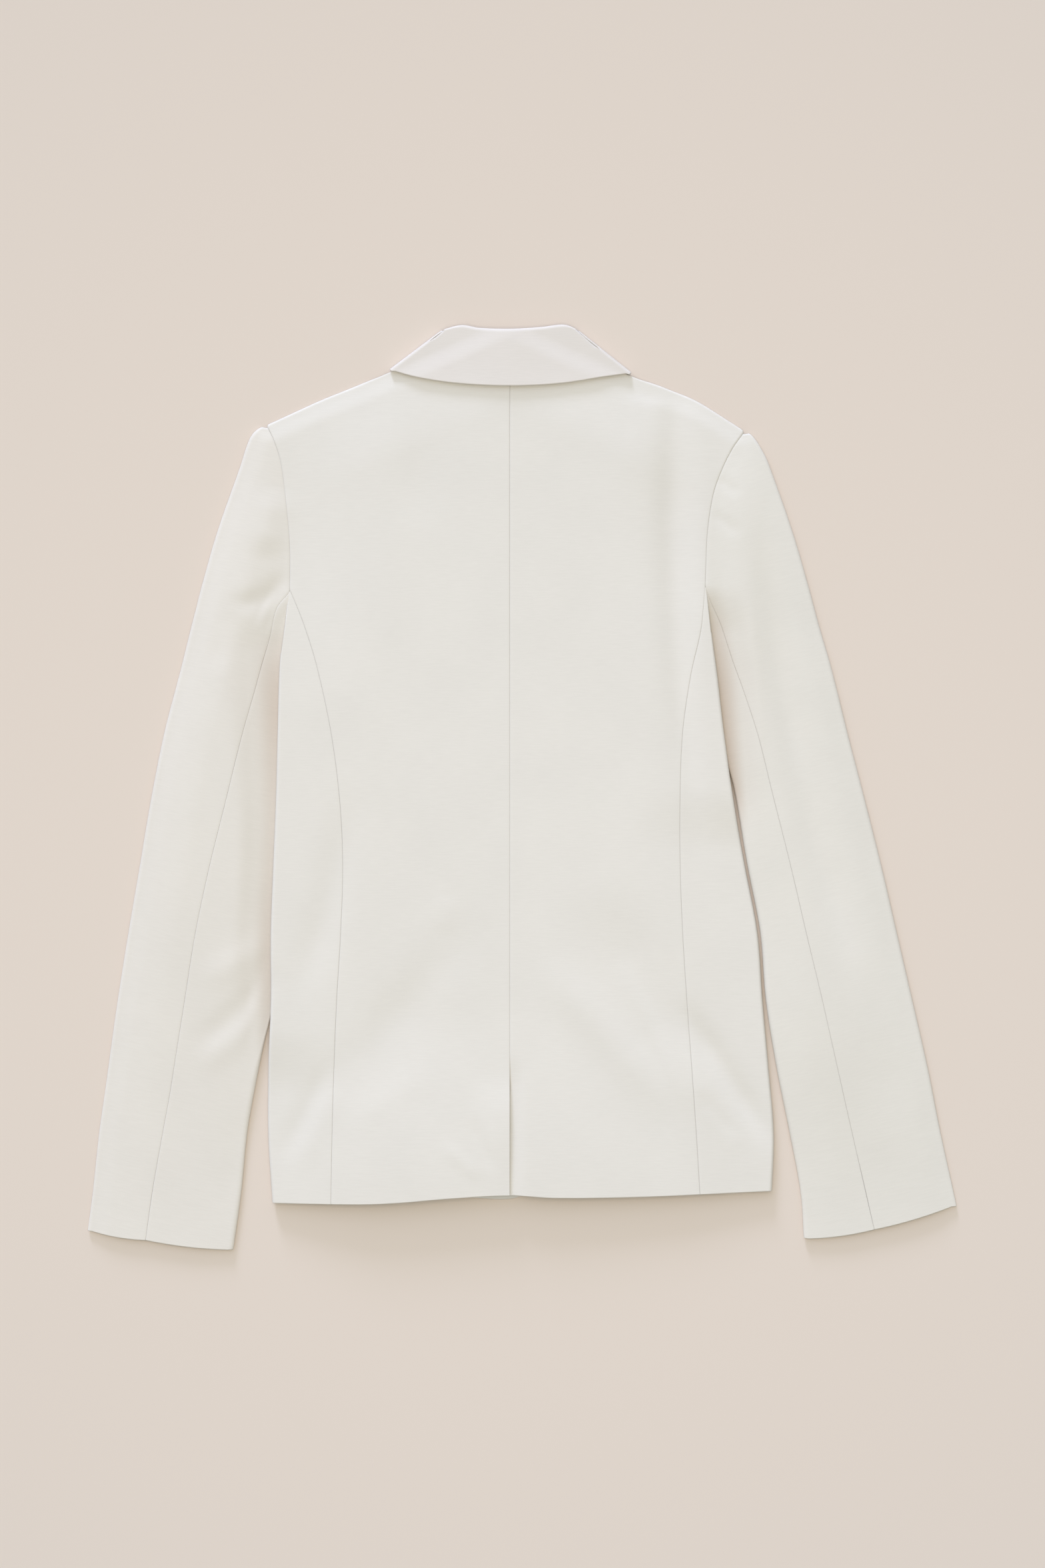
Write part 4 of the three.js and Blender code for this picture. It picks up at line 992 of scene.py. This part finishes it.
def clothNormals(grid, cells):
    across = grid[1:, 1:] - grid[:-1, :-1]
    other = grid[:-1, 1:] - grid[1:, :-1]
    facing = np.cross(across, other)
    facing /= np.maximum(np.linalg.norm(facing, axis=-1, keepdims=True), 1e-12)
    facing *= cells[..., None]
    normals = np.zeros_like(grid)
    for columns in (slice(None, -1), slice(1, None)):
        for rows in (slice(None, -1), slice(1, None)):
            normals[columns, rows] += facing
    return normals / np.maximum(np.linalg.norm(normals, axis=-1, keepdims=True), 1e-12)


def flatSize(grid, cells):        # the cut: widest row, longest column and area, in metres
    padded = np.pad(cells, 1)
    usedAcross = padded[1:-1, 1:] | padded[1:-1, :-1]
    usedUp = padded[1:, 1:-1] | padded[:-1, 1:-1]
    width = (np.linalg.norm(np.diff(grid, axis=0), axis=2) * usedAcross).sum(axis=0).max()
    length = (np.linalg.norm(np.diff(grid, axis=1), axis=2) * usedUp).sum(axis=1).max()
    crossed = np.cross(grid[1:, 1:] - grid[:-1, :-1], grid[:-1, 1:] - grid[1:, :-1])
    area = (np.linalg.norm(crossed, axis=2) * cells).sum() / 2
    return width * mm, length * mm, area * mm * mm


def clothFaces(cells, shape):
    number = np.arange(shape[0] * shape[1]).reshape(shape[:2])
    corners = [number[:-1, :-1], number[1:, :-1], number[1:, 1:], number[:-1, 1:]]
    over = np.stack([corner[cells] for corner in corners], axis=1)
    faces = [over, over[:, ::-1] + number.size]
    padded = np.pad(cells, 1)
    beside = [padded[1:-1, :-2], padded[2:, 1:-1], padded[1:-1, 2:], padded[:-2, 1:-1]]
    for index, neighbour in enumerate(beside):
        bare = cells & ~neighbour
        start = corners[index][bare]
        end = corners[(index + 1) % 4][bare]
        rim = 2 * number.size
        faces.append(np.stack([end, start, start + rim, end + rim], axis=1))
        faces.append(np.stack([end + rim, start + rim, start + number.size, end + number.size], axis=1))
    return np.concatenate(faces)


def addCloth(piece, grid, seam=None, cells=None):
    if seam is None:
        seam = np.zeros(grid.shape[:2])
    if cells is None:
        cells = np.ones((grid.shape[0] - 1, grid.shape[1] - 1), bool)
    grid[..., 2] -= cloth["seamDepth"] * seam
    half = cloth["seamGap"] / 2
    topRound = cloth[piece.get("topEdge", "seamRound")]
    edge = drawnIn(grid, half, 0, half)
    faceGrid = drawnIn(grid, half + cloth["seamRound"], cloth["edgeRound"], half + topRound)
    normals = clothNormals(edge, cells)
    places = np.concatenate([
        (faceGrid + normals * cloth["wall"] / 2).reshape(-1, 3),
        (faceGrid - normals * cloth["wall"] / 2).reshape(-1, 3),
        edge.reshape(-1, 3),
    ])
    faces = clothFaces(cells, grid.shape)
    used, faces = np.unique(faces, return_inverse=True)
    faces = faces.reshape(-1, 4)
    places = places[used]
    a, b, c, d = (places[faces[:, index]] for index in range(4))
    if (np.einsum("ij,ij->i", a, np.cross(b, c)) + np.einsum("ij,ij->i", a, np.cross(c, d))).sum() < 0:
        faces = faces[:, ::-1]
    mesh = bpy.data.meshes.new(piece["name"])
    mesh.from_pydata((places + originShift) * mm, [], faces.tolist())
    mesh.polygons.foreach_set("use_smooth", np.ones(len(faces), bool))
    # the seam's dip, which also drives the painted shade along the seams, and the painted shade in the
    # hollows
    for title, values in (("seam", seam), ("hollow", piece.get("hollow", np.zeros_like(seam)))):
        attribute = mesh.attributes.new(title, "FLOAT", "POINT")
        attribute.data.foreach_set("value", np.tile(values.reshape(-1), 3)[used].astype(np.float32))
    mesh.materials.append(piece["material"])
    clothObject = placed(piece["name"], mesh)
    width, length, area = flatSize(edge, cells)
    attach(clothObject, "root")
    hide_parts(piece["node"])
    sizes = [round(value, 4) for value in (width, length, area)]
    print("cloth", piece["name"], "faces", len(faces), "flat", *sizes)


# Materials

def linearColor(hexColor):
    values = [int(hexColor[index:index + 2], 16) / 255 for index in (1, 3, 5)]
    linear = [value / 12.92 if value <= 0.04045 else ((value + 0.055) / 1.055) ** 2.4 for value in values]
    return (*linear, 1.0)


def addNode(material, kind, settings=None, inputs=None):
    node = material.node_tree.nodes.new(kind)
    for name, value in (settings or {}).items():
        setattr(node, name, value)
    for name, value in (inputs or {}).items():
        if isinstance(value, bpy.types.NodeSocket):
            material.node_tree.links.new(value, node.inputs[name])
        else:
            node.inputs[name].default_value = value
    return node


# Ponte, a firm double knit: matt, a little heathered along its courses, with a faint soft sheen
knit = {
    "courseSpacing": 1.1,        # real courses are 0.6 mm, drawn nearly twice as coarse so that they show
    "streakLength": 11,
    "loopSize": 0.7,
    "mottleSize": 55,
    "bumpHeight": 0.03,
    "roughness": 0.88,
    "sheen": 0.12,
    "specular": 0.25,
    # the colour that the painted shade in the hollows beside the body darkens the cloth towards
    "paintedHollowShadeColor": (0.8, 0.72, 0.66),
}


def ponteKnit(name, hexColor, hexStreak, turn):
    material = bpy.data.materials.new(name)
    material.use_nodes = True
    material.node_tree.nodes.clear()
    where = addNode(material, "ShaderNodeTexCoord")
    turned = addNode(material, "ShaderNodeMapping", None, {
        "Vector": where.outputs["Object"], "Rotation": (0, 0, math.radians(turn))})
    stretched = addNode(material, "ShaderNodeMapping", None, {
        "Vector": turned.outputs["Vector"],
        "Scale": (1000 / knit["streakLength"], 1000 / knit["courseSpacing"], 1000 / knit["streakLength"])})
    streaks = addNode(material, "ShaderNodeTexNoise", None, {
        "Vector": stretched.outputs["Vector"], "Scale": 1.0, "Detail": 3.0, "Roughness": 0.6})
    mottle = addNode(material, "ShaderNodeTexNoise", None, {
        "Vector": where.outputs["Object"], "Scale": 1000 / knit["mottleSize"], "Detail": 2.0})
    loops = addNode(material, "ShaderNodeTexNoise", None, {
        "Vector": where.outputs["Object"], "Scale": 1000 / knit["loopSize"], "Detail": 1.0})
    streakShare = addNode(material, "ShaderNodeMapRange", None, {
        "Value": streaks.outputs["Fac"], "From Min": 0.3, "From Max": 0.7})
    # painted shade in the hollows beside the body, read from the mesh's hollow attribute
    hollow = addNode(material, "ShaderNodeAttribute", {"attribute_name": "hollow"})
    colors = []
    for share, first, second in (
        (streakShare.outputs["Result"], linearColor(hexColor), linearColor(hexStreak)),
        (hollow.outputs["Fac"], (1, 1, 1, 1), (*knit["paintedHollowShadeColor"], 1)),
    ):
        mixed = addNode(material, "ShaderNodeMix", {"data_type": "RGBA"}, {"Factor": share})
        for socket in mixed.inputs:        # the colour sockets share their names with the number sockets
            if socket.type == "RGBA":
                socket.default_value = first if socket.name == "A" else second
        colors.append(next(socket for socket in mixed.outputs if socket.type == "RGBA"))
    mottleShare = addNode(material, "ShaderNodeMapRange", None, {
        "Value": mottle.outputs["Fac"], "From Min": 0.3, "From Max": 0.7, "To Min": 0.985, "To Max": 1.01})
    # painted shade along the seams, darkest down in their grooves
    seamShade = addNode(material, "ShaderNodeAttribute", {"attribute_name": "seam"})
    paintedSeamShade = addNode(material, "ShaderNodeMapRange", None, {
        "Value": seamShade.outputs["Fac"], "From Min": 0.1, "To Min": 1.0, "To Max": 0.98})
    # the mottle's random tone times the painted seam shade
    shade = addNode(material, "ShaderNodeMath", {"operation": "MULTIPLY"}, {
        0: mottleShare.outputs["Result"], 1: paintedSeamShade.outputs["Result"]})
    shaded = addNode(material, "ShaderNodeVectorMath", {"operation": "SCALE"}, {
        0: colors[0], "Scale": shade.outputs["Value"]})
    # the knit's colour with the painted shade of the hollows multiplied in
    knitColorWithPaintedShade = addNode(material, "ShaderNodeVectorMath", {"operation": "MULTIPLY"}, {
        0: shaded.outputs["Vector"], 1: colors[1]})
    height = addNode(material, "ShaderNodeMath", {"operation": "ADD"}, {
        0: streaks.outputs["Fac"], 1: loops.outputs["Fac"]})
    bump = addNode(material, "ShaderNodeBump", None, {
        "Height": height.outputs["Value"], "Strength": 0.6, "Distance": knit["bumpHeight"] * mm})
    surface = addNode(material, "ShaderNodeBsdfPrincipled", None, {
        "Base Color": knitColorWithPaintedShade.outputs["Vector"],
        "Roughness": knit["roughness"],
        "Specular IOR Level": knit["specular"],
        "Sheen Weight": knit["sheen"],
        "Sheen Roughness": 0.6,
        "Normal": bump.outputs["Normal"],
    })
    addNode(material, "ShaderNodeOutputMaterial", None, {"Surface": surface.outputs["BSDF"]})
    return material


bodyKnit = ponteKnit("ponte knit of the body", "#e6e3dc", "#e3e0d9", 0)
sleeveKnit = {
    "left": ponteKnit("ponte knit of the left sleeve", "#e6e2da", "#e3dfd7", 12),
    "right": ponteKnit("ponte knit of the right sleeve", "#e5e2da", "#e2dfd7", -13),
}
collarKnit = ponteKnit("ponte knit of the collar", "#e3ded8", "#e0dbd5", 0)
print("materials ready")

for name in sides:
    buildBack(name)
    buildSide(name)
    buildUpperSleeve(name)
    buildUnderSleeve(name)
    buildFront(name)
buildCollar()
print("blazer ready")

# Floor and light: a low soft key from the top, a broad one from the upper left, a warm one overhead
studio = {
    "floorSize": 6.0,
    "floorColor": "#e2d7cc",
    "roomColor": (0.97, 1.02, 0.99),
    "roomPower": 0.5,
    "overheadPlace": (-0.03, 0.0, 2.0),
    "overheadSize": 0.9,
    "overheadPower": 10.4,
    "overheadColor": (1.18, 1.0, 0.77),
}
suns = table(        # bearing is in degrees from +X, anticlockwise
    "name elevation bearing width power color",
    ("low key", 13.5, 103, 14, 1.6, (0.88, 0.96, 1.27)),
    ("broad key", 45, 114, 60, 0.58, (0.88, 0.96, 1.27)),
)
floorMesh = bpy.data.meshes.new("floor")
half = studio["floorSize"] / 2
corners = [(-half, -half, 0), (half, -half, 0), (half, half, 0), (-half, half, 0)]
floorMesh.from_pydata(corners, [], [(0, 1, 2, 3)])
floor = placed("floor", floorMesh)
floor.location.z = -0.0002
plaster = bpy.data.materials.new("matt painted floor")
plaster.use_nodes = True
plaster.node_tree.nodes.clear()
paint = addNode(plaster, "ShaderNodeBsdfPrincipled", None, {
    "Base Color": linearColor(studio["floorColor"]), "Roughness": 0.95, "Specular IOR Level": 0.1})
addNode(plaster, "ShaderNodeOutputMaterial", None, {"Surface": paint.outputs["BSDF"]})
floorMesh.materials.append(plaster)

for sun in suns:
    light = bpy.data.lights.new(sun["name"], "SUN")
    light.energy = sun["power"]
    light.angle = math.radians(sun["width"])
    light.color = sun["color"]
    turn = (0, math.radians(90 - sun["elevation"]), math.radians(sun["bearing"]))
    placed(sun["name"], light).rotation_euler = turn

overhead = bpy.data.lights.new("overhead", "AREA")
overhead.energy = studio["overheadPower"]
overhead.size = studio["overheadSize"]
overhead.color = studio["overheadColor"]
placed("overhead", overhead).location = studio["overheadPlace"]

room = bpy.data.worlds.new("room")
room.use_nodes = True
background = room.node_tree.nodes["Background"]
background.inputs["Color"].default_value = (*studio["roomColor"], 1.0)
background.inputs["Strength"].default_value = studio["roomPower"]
bpy.context.scene.world = room
bpy.context.scene.view_settings.view_transform = "Standard"
print("floor and light ready")
